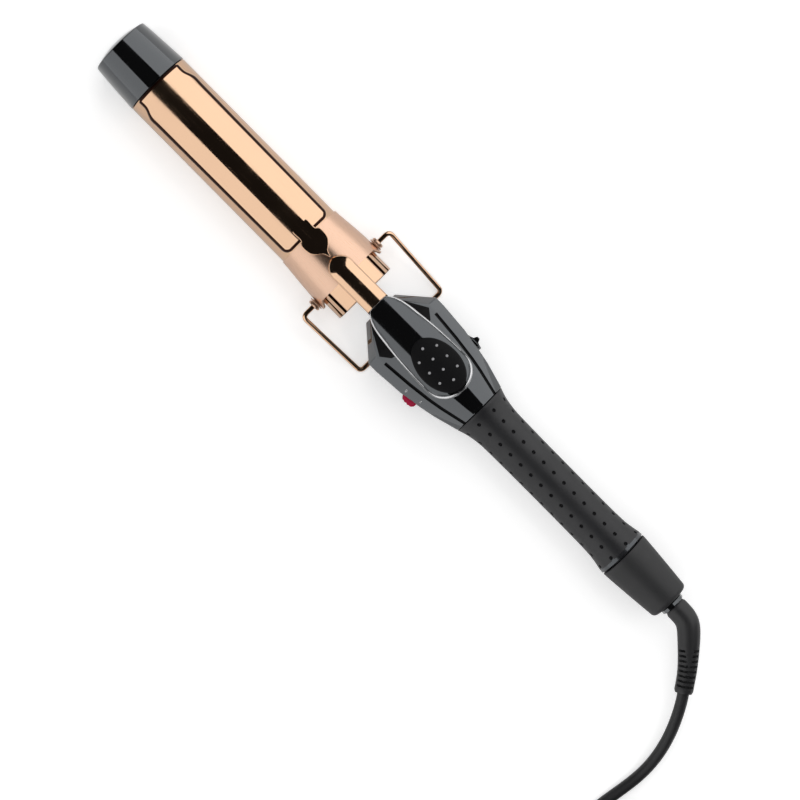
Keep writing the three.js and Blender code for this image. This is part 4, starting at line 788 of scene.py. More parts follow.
def dimple_tree():
    """Cuts shallow round dimples into a sleeve, in rows round the tool's axis, wherever its surface is."""
    tree, given, node, maths, point = node_tree("dimples", [
        ("Rows", "NodeSocketInt", 8), ("Columns", "NodeSocketInt", 14), ("Pitch", "NodeSocketFloat", 0.0),
        ("First X", "NodeSocketFloat", 0.0), ("Axis Z", "NodeSocketFloat", 0.0),
        ("Ball Radius", "NodeSocketFloat", 0.0), ("Ball Lift", "NodeSocketFloat", 0.0),
        ("Roll", "NodeSocketFloat", 0.0), ("Material", "NodeSocketMaterial", None)])
    count = maths("MULTIPLY", given["Rows"], given["Columns"])
    line = node("MeshLine", {"Count": count, "Offset": (0.0, 0.0, 0.0)})
    index = node("InputIndex")
    column = maths("MODULO", index, given["Columns"])
    row = maths("FLOOR", maths("DIVIDE", index, given["Columns"]))
    step = maths("DIVIDE", math.tau, given["Rows"])
    turn = maths("ADD", maths("MULTIPLY", maths("ADD", row, 0.5), step), given["Roll"])
    x = maths("ADD", given["First X"], maths("MULTIPLY", column, given["Pitch"]))
    out = point(0.0, maths("SINE", turn), maths("COSINE", turn))
    centre = point(x, 0.0, given["Axis Z"])
    far = wired(tree, "ShaderNodeVectorMath", {0: out, 1: (0.05, 0.05, 0.05)}, operation="MULTIPLY")
    start = wired(tree, "ShaderNodeVectorMath", {0: centre, 1: far}, operation="ADD")
    inward = wired(tree, "ShaderNodeVectorMath", {0: out, 1: (-1.0, -1.0, -1.0)}, operation="MULTIPLY")
    hit = node("Raycast", {
        "Target Geometry": given["Geometry"], "Source Position": start,
        "Ray Direction": inward, "Ray Length": 0.06})
    lift = wired(tree, "ShaderNodeVectorMath", {0: out, "Scale": given["Ball Lift"]}, operation="SCALE")
    place = wired(tree, "ShaderNodeVectorMath", {0: hit.outputs["Hit Position"], 1: lift},
                  operation="ADD")
    spots = node("SetPosition", {
        "Geometry": line, "Position": place})
    ball = node("MeshIcoSphere", {"Radius": given["Ball Radius"], "Subdivisions": 3})
    balls = node("InstanceOnPoints", {
        "Points": spots, "Instance": ball})
    cutters = node("RealizeInstances", {"Geometry": balls})
    dished = node("MeshBoolean", {
        "Mesh 1": given["Geometry"], "Mesh 2": cutters},
        operation="DIFFERENCE", solver="EXACT")
    closed_tree(tree, dished, given)
    return tree


def stud_tree():
    """Round studs that stand on a surface below a grid of points; the middle row has one more than its neighbours."""
    tree, given, node, maths, point = node_tree("studs", [
        ("Middle", "NodeSocketVector", None), ("Rise", "NodeSocketFloat", 0.0), ("Count", "NodeSocketInt", 4),
        ("Pitch", "NodeSocketFloat", 0.0), ("Row Pitch", "NodeSocketFloat", 0.0),
        ("Radius", "NodeSocketFloat", 0.0), ("Material", "NodeSocketMaterial", None)])
    turn = point(0.0, maths("MULTIPLY", given["Rise"], -1.0), 0.0)
    less = maths("SUBTRACT", given["Count"], 1.0)
    long = maths("MULTIPLY", less, given["Pitch"])
    short = maths("MULTIPLY", maths("SUBTRACT", less, 1.0), given["Pitch"])
    broad = maths("MULTIPLY", given["Row Pitch"], 2.0)
    middle = node("MeshGrid", {
        "Size X": long, "Size Y": 0.0, "Vertices X": given["Count"], "Vertices Y": 1})
    sides = node("MeshGrid", {
        "Size X": short, "Size Y": broad, "Vertices X": less, "Vertices Y": 2})
    laid = node("Transform", {
        "Geometry": together(tree, middle, sides), "Translation": given["Middle"], "Rotation": turn})
    down = point(maths("SINE", given["Rise"]), 0.0,
                    maths("MULTIPLY", maths("COSINE", given["Rise"]), -1.0))
    hit = node("Raycast", {
        "Target Geometry": given["Geometry"], "Ray Direction": down, "Ray Length": 0.02})
    spots = node("SetPosition", {
        "Geometry": laid, "Position": hit.outputs["Hit Position"]})
    dome = node("MeshUVSphere", {
        "Segments": 20, "Rings": 10, "Radius": given["Radius"]})
    low_dome = node("Transform", {"Geometry": dome, "Scale": (1.0, 1.0, 0.45)})
    studs = node("InstanceOnPoints", {
        "Points": spots, "Instance": low_dome, "Rotation": turn})
    closed_tree(tree, studs, given)
    return tree


def screw_tree():
    """Pan-headed screws with a cross recess, on a grid of points, with their heads down."""
    tree, given, node, maths, point = node_tree("screws", [
        ("Middle", "NodeSocketVector", None), ("Pitch X", "NodeSocketFloat", 0.0),
        ("Pitch Y", "NodeSocketFloat", 0.0), ("Head Radius", "NodeSocketFloat", 0.0),
        ("Head Depth", "NodeSocketFloat", 0.0), ("Shank Radius", "NodeSocketFloat", 0.0),
        ("Shank Length", "NodeSocketFloat", 0.0), ("Material", "NodeSocketMaterial", None)])
    head = node("MeshCylinder", {
        "Vertices": 40, "Radius": given["Head Radius"], "Depth": given["Head Depth"]})
    recess = maths("MULTIPLY", given["Head Radius"], 1.2)
    thin = maths("MULTIPLY", given["Head Radius"], 0.26)
    low_side = maths("MULTIPLY", given["Head Depth"], -0.5)
    piece = head
    for size in ((recess, thin), (thin, recess)):
        bar = node("MeshCube", {
            "Size": point(size[0], size[1], given["Head Depth"])})
        lowered = node("Transform", {
            "Geometry": bar, "Translation": point(0.0, 0.0, low_side)})
        piece = node("MeshBoolean", {
            "Mesh 1": piece, "Mesh 2": lowered}, operation="DIFFERENCE")
    shank = node("MeshCylinder", {
        "Vertices": 20, "Radius": given["Shank Radius"], "Depth": given["Shank Length"]})
    up = maths("MULTIPLY", maths("ADD", given["Head Depth"], given["Shank Length"]), 0.5)
    lifted = node("Transform", {
        "Geometry": shank, "Translation": point(0.0, 0.0, up)})
    grid = node("MeshGrid", {
        "Size X": given["Pitch X"], "Size Y": given["Pitch Y"], "Vertices X": 2, "Vertices Y": 2})
    laid = node("Transform", {
        "Geometry": grid, "Translation": given["Middle"]})
    screws = node("InstanceOnPoints", {
        "Points": laid, "Instance": together(tree, piece, lifted)})
    closed_tree(tree, screws, given)
    return tree


def slot_tree():
    """Cuts two columns of slots into a tube, one column on each side of the path that it follows."""
    tree, given, node, maths, point = node_tree("slots", [
        ("Path", "NodeSocketObject", None), ("Count", "NodeSocketInt", 8), ("Spread", "NodeSocketFloat", 0.0),
        ("Length", "NodeSocketFloat", 0.0), ("Width", "NodeSocketFloat", 0.0),
        ("Depth", "NodeSocketFloat", 0.0), ("Material", "NodeSocketMaterial", None)])
    path = node("ObjectInfo", {"Object": given["Path"]})
    curve = node("MeshToCurve", {"Mesh": path.outputs["Geometry"]})
    spots = node("CurveToPoints", {
        "Curve": curve, "Count": given["Count"]})
    bar = node("MeshCube", {
        "Size": point(given["Depth"], given["Length"], given["Width"])})
    bars = []
    for side in (1.0, -1.0):
        shift = maths("MULTIPLY", given["Spread"], side)
        aside = node("Transform", {
            "Geometry": bar, "Translation": point(0.0, shift, 0.0)})
        bars.append(node("InstanceOnPoints", {
            "Points": spots, "Instance": aside, "Rotation": spots.outputs["Rotation"]}))
    real = node("RealizeInstances", {"Geometry": together(tree, *bars)})
    slotted = node("MeshBoolean", {
        "Mesh 1": given["Geometry"], "Mesh 2": real}, operation="DIFFERENCE")
    closed_tree(tree, slotted, given)
    return tree


# ---------------------------------------------------------------- stage


def softbox(name, place, aim, width, height, radiance, seen_in_gloss=True):
    light = bpy.data.lights.new(name, "AREA")
    light.shape = "RECTANGLE"
    light.size = width
    light.size_y = height
    light.energy = radiance * math.pi * width * height
    lamp = bpy.data.objects.new(name, light)
    lamp.location = place
    lamp.rotation_mode = "QUATERNION"
    lamp.rotation_quaternion = (Vector(aim) - Vector(place)).to_track_quat("-Z", "Y")
    lamp.visible_glossy = seen_in_gloss
    lamp.visible_camera = False
    bpy.context.scene.collection.objects.link(lamp)


# How much the floor shines for the camera only, so that it looks as pale as the backdrop.
FLOOR_LIFT = 0.38
FLOOR_DROP = 0.4 * MM
CAMERA_PLACE = Vector((-6.1, -38.1, 1502.8)) * MM
CAMERA_AIM = Vector((25.43, -22.55, 17.5)) * MM
CAMERA_UP = Vector((-0.7106, 0.7035, -0.0077))
CAMERA_ANGLE = math.radians(13.81)


def pale_floor():
    shape = bmesh.new()
    bmesh.ops.create_grid(shape, x_segments=1, y_segments=1, size=6)
    mesh = bpy.data.meshes.new("floor")
    shape.to_mesh(mesh)
    shape.free()
    floor = linked("floor", mesh)
    floor.location.z = -FLOOR_DROP
    material, tree, shader = shader_of("floor_paint", Roughness=0.9)
    grain = grain_of(tree, 300.0, 2.0)
    feed(tree, shader, Base_Color=blended(tree, grain["Mottle"], (0.84, 0.84, 0.84), (0.86, 0.86, 0.86)))
    shader.inputs["Emission Color"].default_value = (1, 1, 1, 1)
    rays = wired(tree, "ShaderNodeLightPath")
    feed(tree, shader, Emission_Strength=ranged(tree, rays, 0.0, FLOOR_LIFT))
    mesh.materials.append(material)


def room_light():
    """A pale backdrop for the camera, and a dark one for what the polished pieces mirror."""
    world = bpy.data.worlds.new("room")
    world.use_nodes = True
    tree = world.node_tree
    tree.nodes.clear()
    dim = wired(tree, "ShaderNodeBackground", {"Color": (0.5, 0.5, 0.52, 1.0), "Strength": 0.02})
    pale = wired(tree, "ShaderNodeBackground", {"Color": (0.93, 0.93, 0.94, 1.0), "Strength": 1.0})
    rays = wired(tree, "ShaderNodeLightPath")
    mix = wired(tree, "ShaderNodeMixShader", {
        0: rays, 1: dim, 2: pale})
    wired(tree, "ShaderNodeOutputWorld", {"Surface": mix})
    bpy.context.scene.world = world


def overhead_camera():
    camera = bpy.data.cameras.new("camera")
    camera.sensor_width = 36
    camera.angle = CAMERA_ANGLE
    camera.clip_start = 0.05
    camera.clip_end = 30
    back = (CAMERA_PLACE - CAMERA_AIM).normalized()
    right = CAMERA_UP.cross(back).normalized()
    turn = Matrix((right, back.cross(right), back)).transposed()
    holder = bpy.data.objects.new("camera", camera)
    holder.matrix_world = Matrix.Translation(CAMERA_PLACE) @ turn.to_4x4()
    bpy.context.scene.collection.objects.link(holder)
    bpy.context.scene.camera = holder


class CURLINGIRON_OT_stage(bpy.types.Operator):
    """Makes the camera, the lights and the pale floor"""

    bl_idname = "curlingiron.stage"
    bl_label = "Stage"

    def execute(self, context):
        overhead_camera()
        room_light()
        pale_floor()
        softbox("left_softbox", (0, 1.30, 0.76), (0, 0.12, -0.14), 2.5, 2.27, 1.35)
        softbox("right_softbox", (0, -1.33, 0.69), (0, -0.04, -0.07), 2.5, 1.75, 1.1)
        softbox("top_fill", (0, 0, 2.6), (0, 0, 0), 2.4, 2.4, 1.9, seen_in_gloss=False)
        context.scene.view_settings.view_transform = "Standard"
        return {"FINISHED"}


# ---------------------------------------------------------------- cord


def from_exit(points):
    return [Vector((X_EXIT + x * MM, y * MM, z * MM)) for x, y, z in points]


def coil_route(steps_in_turn=40):
    """The coil's turns, wound from the outside in, back out, and in again, then up to the top of the coil."""
    pitch = 2 * CORD_RADIUS
    columns = [TURN_RADIUS + pitch, TURN_RADIUS, TURN_RADIUS - pitch]
    radii = [*columns, *reversed(columns), columns[0], columns[1], columns[2]]
    layers = [COIL_LIFT + CORD_RADIUS + pitch * n for n in (0, 0, 0, 1, 1, 1, 2, 2)]
    heights = [*layers, COIL_TOP + CORD_RADIUS + 0.4 * MM]
    out = []
    turns = len(radii) - 1
    for i in range(2, turns * steps_in_turn + 1):
        turn, part = divmod(i / steps_in_turn, 1)
        n = min(int(turn), turns - 1)
        share = eased(part, 0.84, 1.0) if turn < turns else 1.0
        r = radii[n] + (radii[n + 1] - radii[n]) * share
        z = heights[n] + (heights[n + 1] - heights[n]) * share
        a = math.pi + 2 * math.pi * i / steps_in_turn
        out.append(COIL_CENTRE + Vector((r * math.cos(a), r * math.sin(a), z)))
    for share in (0.25, 0.5, 0.75):
        r = columns[2] + (TURN_RADIUS - columns[2]) * share
        a = math.pi + math.radians(77.5) * share
        out.append(COIL_CENTRE + Vector((r * math.cos(a), r * math.sin(a), heights[-1])))
    return out


def cord_route():
    start = smooth_route(from_exit(RELIEF_ROUTE + LEAD_ROUTE), 3 * MM)
    tail = [COIL_CENTRE + Vector(p) * MM for p in TAIL_ROUTE]
    return smooth_route([*start, *coil_route(), *tail], 3 * MM)


def strain_relief():
    """The moulded boot: smooth where it leaves the collar, slotted where it has to bend."""
    route = smooth_route(from_exit(RELIEF_ROUTE), 1.2 * MM)
    front, rear = 5.4 * MM, 4.35 * MM

    def radius(share):
        rounded = 1 - 0.12 * eased(1 - share, 0.97, 1.0) - 0.1 * eased(share, 0.97, 1.0)
        return (front + (rear - front) * eased(share, 0.2, 0.9)) * rounded

    boot = tube_along("strain_relief_boot", route, radius, 32)
    split = int(len(route) * 0.52)
    stretch = route[split:-3]
    mesh = bpy.data.meshes.new("slot_path")
    mesh.from_pydata([tuple(p) for p in stretch], [(i, i + 1) for i in range(len(stretch) - 1)], [])
    path = linked("slot_path", mesh)
    grown(boot, slot_tree(), {
        "Path": path, "Count": settings().slot_count, "Spread": 3.2 * MM, "Length": 2.7 * MM,
        "Width": 1.1 * MM, "Depth": 20 * MM, "Material": finish_named("cord_rubber")})
    bpy.data.objects.remove(path)
    return boot


def cord_tie():
    """A strap round the bundle, with its end lapped over it."""
    half = 5.5 * MM
    inside = TURN_RADIUS - 3 * CORD_RADIUS
    inner = math.sqrt(inside**2 - half**2) - GAP
    outer = TURN_RADIUS + 3 * CORD_RADIUS + GAP
    bottom, top = COIL_LIFT - GAP, COIL_TOP + GAP
    turn = Matrix.Translation(COIL_CENTRE) @ Matrix.Rotation(math.radians(100), 4, "Z")

    def loop(grow):
        c = 1.4 * MM + grow
        ends = [(outer - 1.4 * MM, bottom + 1.4 * MM, -90), (outer - 1.4 * MM, top - 1.4 * MM, 0),
                (inner + 1.4 * MM, top - 1.4 * MM, 90), (inner + 1.4 * MM, bottom + 1.4 * MM, 180)]
        return [p for x, z, a in ends for p in arc((x, z), c, a, a + 90, 5)]

    rings = []
    for grow, y in ((0, -half), (0, half), (1 * MM, half), (1 * MM, -half)):
        rings.append([tuple(turn @ Vector((x, y, z))) for x, z in loop(grow)])
    strap = lofted("cord_tie_strap", rings, round_trip=True)
    return softened(strap, 0.2 * MM, 2, 60)


def plug_place(piece):
    lift = Matrix.Translation((PLUG_X, PLUG_Y, PLUG_AXIS_Z - AXIS_Z))
    return moved(piece, lift @ Matrix.Translation((0, 0, AXIS_Z)) @ Matrix.Rotation(math.pi / 2, 4, "Z")
                 @ Matrix.Translation((0, 0, -AXIS_Z)))


def plug_relief():
    length = low("plug_body").y - GAP - PLUG_Y
    outline = [(0, 0), (0, 3.2 * MM)]
    ribs = 6
    for i in range(ribs):
        r = (3.55 + 1.05 * i / (ribs - 1)) * MM
        x = length * i / ribs
        pitch = length / ribs
        outline += [(x + 0.12 * pitch, r), (x + 0.62 * pitch, r), (x + 0.72 * pitch, r - 0.5 * MM),
                    (x + 0.98 * pitch, r - 0.5 * MM)]
    outline += [(length, 4.4 * MM), (length, 0)]
    return plug_place(turned("plug_relief_boot", outline, 40))


def plug_body():
    """The moulded plug: a waisted grip that swells to a flat front."""
    x0 = low("plug_body").y - PLUG_Y
    length = high("plug_body").y - low("plug_body").y
    width = (high("plug_body").x - low("plug_body").x) / 2
    thick = (high("plug_body").z - low("plug_body").z) / 2
    rings = []
    for i in range(25):
        share = i / 24
        w = 5.8 * MM + (width - 5.8 * MM) * eased(share, 0.0, 0.42)
        t = 5.2 * MM + (thick - 5.2 * MM) * eased(share, 0.0, 0.4)
        pull = 0.5 * MM * (eased(share, 0.96, 1.0) + eased(1 - share, 0.97, 1.0))
        corner = 3.2 * MM
        ring = []
        for sy, sz, a in ((1, 1, 0), (-1, 1, 90), (-1, -1, 180), (1, -1, 270)):
            centre = (sy * (w - pull - corner), sz * (t - pull - corner))
            ring += arc(centre, corner, a, a + 90, 6)
        rings.append([(x0 + length * share, y, AXIS_Z + z) for y, z in ring])
    body = lofted("plug_body_shell", rings)
    for side in (1, -1):
        for k in range(4):
            x = x0 + (8.5 + 3.2 * k) * MM
            start = (x, -7 * MM, AXIS_Z + side * (thick + 0.35 * MM))
            cut(body, rod("finger_groove", start, (x, 7 * MM, start[2]), 0.85 * MM, 20))
    return plug_place(body)


def plug_blade(side):
    """A flat blade with a chamfered tip and a hole."""
    x0 = low("plug_blade_left").y - PLUG_Y
    x1 = high("plug_blade_left").y - PLUG_Y
    half = 3.15 * MM
    name = "plug_contact_" + side_name(side)
    outline = [(x0, -half), (x1 - 1.2 * MM, -half), (x1, -half + 1.2 * MM), (x1, half - 1.2 * MM),
               (x1 - 1.2 * MM, half), (x0, half)]
    y = side * 6.35 * MM
    blade = softened(prism(name, outline, y - 0.75 * MM, y + 0.75 * MM, along_y), 0.2 * MM, 2)
    hole = rod("hole", (x1 - 4 * MM, y - 2 * MM, AXIS_Z), (x1 - 4 * MM, y + 2 * MM, AXIS_Z), 1.6 * MM, 32)
    return plug_place(cut(blade, hole))


class CURLINGIRON_OT_cord(bpy.types.Operator):
    """Makes the cord, its strain relief, the tie round its coil and its plug"""

    bl_idname = "curlingiron.cord"
    bl_label = "Cord and plug"

    def execute(self, context):
        route = cord_route()
        cord = tube_along("mains_cord", route, lambda share: CORD_RADIUS, 14)
        fitted(cord, "swivel", "cord_rubber", "cord_lead", "cord_coil", "cord_tail")
        boot = fitted(strain_relief(), "swivel", "cord_rubber", "strain_relief")
        tie = fitted(cord_tie(), "swivel", "tie_black", "cord_tie")
        relief = fitted(plug_relief(), "swivel", "cord_rubber", "plug_relief")
        body = fitted(plug_body(), "swivel", "cord_rubber", "plug_body")
        blades = [
            fitted(plug_blade(side), "swivel", "brass", node)
            for side, node in ((1, "plug_blade_left"), (-1, "plug_blade_right"))
        ]
        [tuple(p) for p in route]
        return {"FINISHED"}


# ---------------------------------------------------------------- barrel and tip


def tip_cap():
    """The end cap: a low dome inside a fine bead, then a taper that swells to the seam."""
    rim_x, rim = X_TIP + 3.3 * MM, BARREL_RADIUS - 1.4 * MM
    seam = BARREL_RADIUS + 0.15 * MM
    end = X_SEAM - GAP
    wall = 1.6 * MM
    dome = rim - 1.1 * MM
    outline = [(X_TIP + 2.3 * MM * (r / dome) ** 2.4, r) for r in (dome * k / 14 for k in range(15))]
    outline += [(X_TIP + 2.5 * MM, dome + 0.15 * MM), (X_TIP + 2.2 * MM, dome + 0.35 * MM)]
    outline += [(x, r) for x, r in arc((X_TIP + 2.9 * MM, rim - 0.7 * MM), 0.7 * MM, 170, 90, 6)]
    outline += [(rim_x + (end - rim_x) * k / 12, rim + (seam - rim) * (k / 12) ** 0.8) for k in range(1, 12)]
    outline += [(end - 0.35 * MM, seam), (end - 0.1 * MM, seam - 0.1 * MM), (end, seam - 0.35 * MM)]
    outline += [(end, seam - wall), (rim_x + wall, rim - wall), (X_TIP + 2.2 * MM + wall, 0.7 * rim),
                (X_TIP + 0.6 * MM + wall, 0)]
    return turned("tip_cap_shell", outline, 128, 40)


REAR_CREASES = ((11.5 * MM, 12.7 * MM), (14.1 * MM, 14.6 * MM))


def barrel():
    outer, inner, soft = BARREL_RADIUS, BARREL_RADIUS - BARREL_WALL, 0.3 * MM
    x0, x1 = X_SEAM, X_BARREL_REAR
    outline = [(x0, inner), (x0, outer - soft), (x0 + 0.1 * MM, outer - 0.1 * MM), (x0 + soft, outer)]
    outline += [(x1 - soft, outer), (x1 - 0.1 * MM, outer - 0.1 * MM), (x1, outer - soft), (x1, inner)]
    tube = turned("barrel_sleeve", outline, 160, 50)
    hole = rod("pin_hole", (X_PIVOT, -0.03, AXIS_Z), (X_PIVOT, 0.03, AXIS_Z), PIN_RADIUS + GAP)
    cut(tube, hole, sharp=50)
    for start, end in REAR_CREASES:
        for side in (1, -1):
            y0, y1 = sorted((side * start, side * end))
            floor = AXIS_Z + math.sqrt(outer**2 - end**2) - 0.45 * MM
            cut(tube, block("crease", (X_PIVOT, y0, floor), (x1 + MM, y1, AXIS_Z + 0.02)), sharp=50)
    return tube


def in_crease(centre, normal):
    """Whether a face lies in one of the creases behind the hinge, which take a painted shade."""
    y = abs(centre.y)
    deep = math.hypot(y, centre.z - AXIS_Z) < BARREL_RADIUS - 0.1 * MM
    inside = math.hypot(y, centre.z - AXIS_Z) < BARREL_RADIUS - BARREL_WALL + 0.1 * MM
    near = any(start - 0.05 * MM < y < end + 0.05 * MM for start, end in REAR_CREASES)
    return centre.x > X_PIVOT and centre.z > AXIS_Z and deep and near and not inside


class CURLINGIRON_OT_barrel(bpy.types.Operator):
    """Makes the barrel and its end cap"""

    bl_idname = "curlingiron.barrel"
    bl_label = "Barrel and tip"

    def execute(self, context):
        fitted(tip_cap(), "handle", "gloss_black", "tip_cap")
        fitted(barrel(), "handle", "rose_gold", "barrel_tube", second=[("burnt_edge", in_crease)])
        return {"FINISHED"}


# ---------------------------------------------------------------- clamp


def saddle_inner(x):
    return BLADE_OUTER - BLADE_THICKNESS + SADDLE_FLARE * (x - X_SADDLE) / (X_PIVOT - X_SADDLE)


def saddle_outer(x):
    """The saddle's top: a feathered lip at its front, which grows to the plate's full thickness."""
    grown_share = eased(x, X_SADDLE - 2 * MM, X_SADDLE + 17 * MM)
    return saddle_inner(x) + 0.2 * MM + (SADDLE_THICKNESS - 0.2 * MM) * grown_share


def over_barrel(x, y, radius):
    return (x, y, AXIS_Z + math.sqrt(max(radius**2 - y**2, 0)))


BLADE_CORNER = 3.5 * MM
BLADE_REAR_HALF_WIDTH = 13.2 * MM
X_BLADE_END = X_BLADE_REAR + 0.5 * MM
BLADE_TAB = X_BLADE + 5 * MM
BLADE_SIDE = width_table([
    (X_BLADE, 12.2 * MM), (BLADE_TAB - 0.2 * MM, 12.2 * MM), (BLADE_TAB + 4.5 * MM, 13.9 * MM),
    (BLADE_TAB + 9 * MM, 13.9 * MM), (X_BLADE_END - BLADE_CORNER, BLADE_REAR_HALF_WIDTH)])


def blade_half_width(x):
    straight = BLADE_REAR_HALF_WIDTH - BLADE_CORNER
    past = x - X_BLADE_END + BLADE_CORNER
    if past > 0:
        return straight + math.sqrt(max(BLADE_CORNER**2 - past**2, 0))
    return BLADE_SIDE(x) - 1 * MM * (1 - eased(x, X_BLADE, X_BLADE + 1 * MM))


def to_blade_edge(x, y):
    straight = BLADE_REAR_HALF_WIDTH - BLADE_CORNER
    past = x - X_BLADE_END + BLADE_CORNER
    if past > 0 and abs(y) > straight:
        return BLADE_CORNER - math.hypot(past, abs(y) - straight)
    return min(blade_half_width(x) - abs(y), X_BLADE_END - x, x - X_BLADE)


def clamp_blade():
    """A strip that hugs the barrel: a narrow stepped tab at its tip, and round corners at its rear."""

    def top(x, y):
        bend = BLADE_TAB - 2.6 * MM - y**2 * 9
        joggle = 0.14 * MM * (1 - eased(x, bend, bend + 2.6 * MM))
        return BLADE_OUTER - joggle - rolled(to_blade_edge(x, y), 0.6 * MM)

    return plate("clamp_blade_strip", (X_BLADE, X_BLADE_END, blade_half_width), top,
                 lambda x, y: BLADE_OUTER - BLADE_THICKNESS, over_barrel, 240, 56)


# Faces within 1.25 mm of the blade's edge take the dark bronze: a painted shadow of the gap under the edge, and a
# painted dark reflection on its roll.
def on_blade_edge(centre, normal):
    return to_blade_edge(centre.x, centre.y) < 1.25 * MM


def clamp_saddle():
    """The plate behind the blade, with an ear down each side for the hinge pin."""
    rear = X_PIVOT + EAR_RADIUS
    outer = [X_SADDLE + (rear - X_SADDLE) * k / 24 for k in range(25)]
    ring = [(x, saddle_outer(x)) for x in outer] + [(rear, saddle_inner(rear)), (X_SADDLE, saddle_inner(X_SADDLE))]
    wall = turned("clamp_saddle_plate", ring, 160, 50)
    back = X_PIVOT + 1.2 * MM
    foot = 2 * MM
    side = [(X_SADDLE - MM, FAR), (X_SADDLE - MM, foot), (X_PIVOT - EAR_RADIUS - 3 * MM, foot)]
    side += arc((X_PIVOT, 0), EAR_RADIUS, 180, 360, 20)
    side += [(rear, EAR_RADIUS), (back, 2 * EAR_RADIUS), (back, FAR)]
    cut(wall, prism("saddle_outline", side, -FAR, FAR, along_y), "INTERSECT", 50)
    hole = rod("pin_hole", (X_PIVOT, -FAR, AXIS_Z), (X_PIVOT, FAR, AXIS_Z), PIN_RADIUS + RUNNING_GAP)
    return softened(cut(wall, hole, sharp=50), 0.12 * MM, 2, 50, 40)


def boss_level(x):
    return BLADE_OUTER + GAP + 1.2 * MM + 0.04 * max(x - X_SADDLE, 0)


def blade_boss():
    """The pointed boss that joins the blade to the saddle, with its tongue over the blade."""
    start = X_SADDLE
    end = start + 13.5 * MM
    body = width_table(in_mm(
        start, (-6, 4.2), (-5, 4.4), (-0.3, 4.4), (1.2, 5.9), (6.2, 5.6), (8.6, 3.8), (10.6, 1.4), (13.5, 0.25)))
    seat = 0.05 * MM

    def bottom(x, y):
        return max(BLADE_OUTER + seat if x < start else 0, saddle_outer(x) + seat)

    def top(x, y):
        level = boss_level(x)
        flat = math.hypot(level, y)
        return level + 0.75 * (flat - level) - rolled(body(x) - abs(y), 0.3 * MM)

    return plate("blade_boss_plate", (start - 6 * MM, end, body), top, bottom, over_barrel, 80, 24)


def rivet(name, x):
    base = AXIS_Z + boss_level(x) - 0.03 * MM
    top = base + 0.02 * MM
    in_rings = ((0.8 * MM, base - 2.6 * MM), (0.8 * MM, base), (1.2 * MM, base), (1.2 * MM, top), (0.3 * MM, top))
    rings = [[(x + r * math.cos(a), r * math.sin(a), z) for a in (math.tau * k / 32 for k in range(32))]
             for r, z in in_rings]
    return lofted(name, rings)


def lever_neck():
    """The rounded channel with a bullet nose that rises from the saddle, and its tongue under the lever."""
    width = width_table([
        *in_mm(-NECK_NOSE, (0, 0.5), (0.9, 2.4), (3.2, 4.7)), (-NECK_NOSE + 6.4 * MM, NECK_HALF_WIDTH),
        (0, NECK_HALF_WIDTH), (NECK_LENGTH, NECK_HALF_WIDTH)])
    height = width_table([
        *in_mm(-NECK_NOSE, (0, 0.9), (0.9, 1.9), (3.2, 2.9), (6.4, 3.6), (10, 4.0)),
        (3 * MM, 4.15 * MM), (NECK_LENGTH, NECK_HEIGHT)])

    def arch(u, wall, foot):
        w, h = width(u) - wall, height(u) - wall
        ring = [lever_place(u, w, foot)]
        for k in range(49):
            a = math.pi * k / 48
            ring.append(lever_place(u, w * math.cos(a), 0.35 * h + 0.65 * h * math.sin(a)))
        return [*ring, lever_place(u, -w, foot)]

    stations = [-NECK_NOSE + (NECK_NOSE + NECK_LENGTH) * (k / 90) ** 1.4 for k in range(91)]
    bar = lofted("lever_neck_channel", [arch(u, 0, -6 * MM) for u in stations])
    cut(bar, lofted("bore", [arch(u, 0.9 * MM, -7 * MM) for u in (3 * MM, NECK_LENGTH - 3 * MM)]))
    reach = 0.03
    grow = SADDLE_THICKNESS + GAP
    cone = turned("saddle_clearance", [
        (X_SADDLE - reach, 0), (X_SADDLE - reach, saddle_inner(X_SADDLE - reach) + grow),
        (X_PIVOT + reach, saddle_inner(X_PIVOT + reach) + grow), (X_PIVOT + reach, 0)], 128)
    cut(bar, cone)
    low_side, high_side = 1.1 * MM, 2.1 * MM
    rings = []
    for reach, half in ((-0.5 * MM, 4.5 * MM), (23 * MM, 4.5 * MM), (24 * MM, 3.2 * MM)):
        corners = ((-half, low_side), (half, low_side), (half, high_side), (-half, high_side))
        rings.append([lever_place(NECK_LENGTH + reach, v, h) for v, h in corners])
    return joined(bar, softened(lofted("tongue", rings), 0.15 * MM, 2))


def lever_sag(v):
    radius = settings().crown
    return radius - math.sqrt(radius**2 - v**2)


def rolled(distance, radius):
    """How far a rounded edge of that radius has dropped at a distance from the edge."""
    inner = min(max(radius - distance, 0), radius)
    return radius - math.sqrt(radius**2 - inner**2)


def pad_reach(u, v, grow=0.0):
    """Below 1 inside the pad's oval, and above 1 outside it."""
    return math.hypot((u - PAD_CENTRE) / (PAD_LENGTH / 2 + grow), v / (PAD_HALF_WIDTH + grow))


LEVER_END = LEVER_START + LEVER_LENGTH
LEVER_ROUND = LEVER_END - LEVER_HALF_WIDTH
LEVER_SIDE = width_table([
    *in_mm(LEVER_START, (0, 4.4), (1.4, 6.2), (4.8, 8.2), (10, 9.5), (16.5, 10.3), (25.5, 11.3)),
    (LEVER_START + 35 * MM, LEVER_HALF_WIDTH - 0.2 * MM), (LEVER_ROUND, LEVER_HALF_WIDTH)])
RIM_WIDTH = 0.75 * MM
RIM_GROOVE = 1.35 * MM


def to_lever_edge(u, v):
    if u > LEVER_ROUND:
        return LEVER_HALF_WIDTH - math.hypot(u - LEVER_ROUND, v)
    return min(LEVER_SIDE(u) - abs(v), u - LEVER_START)


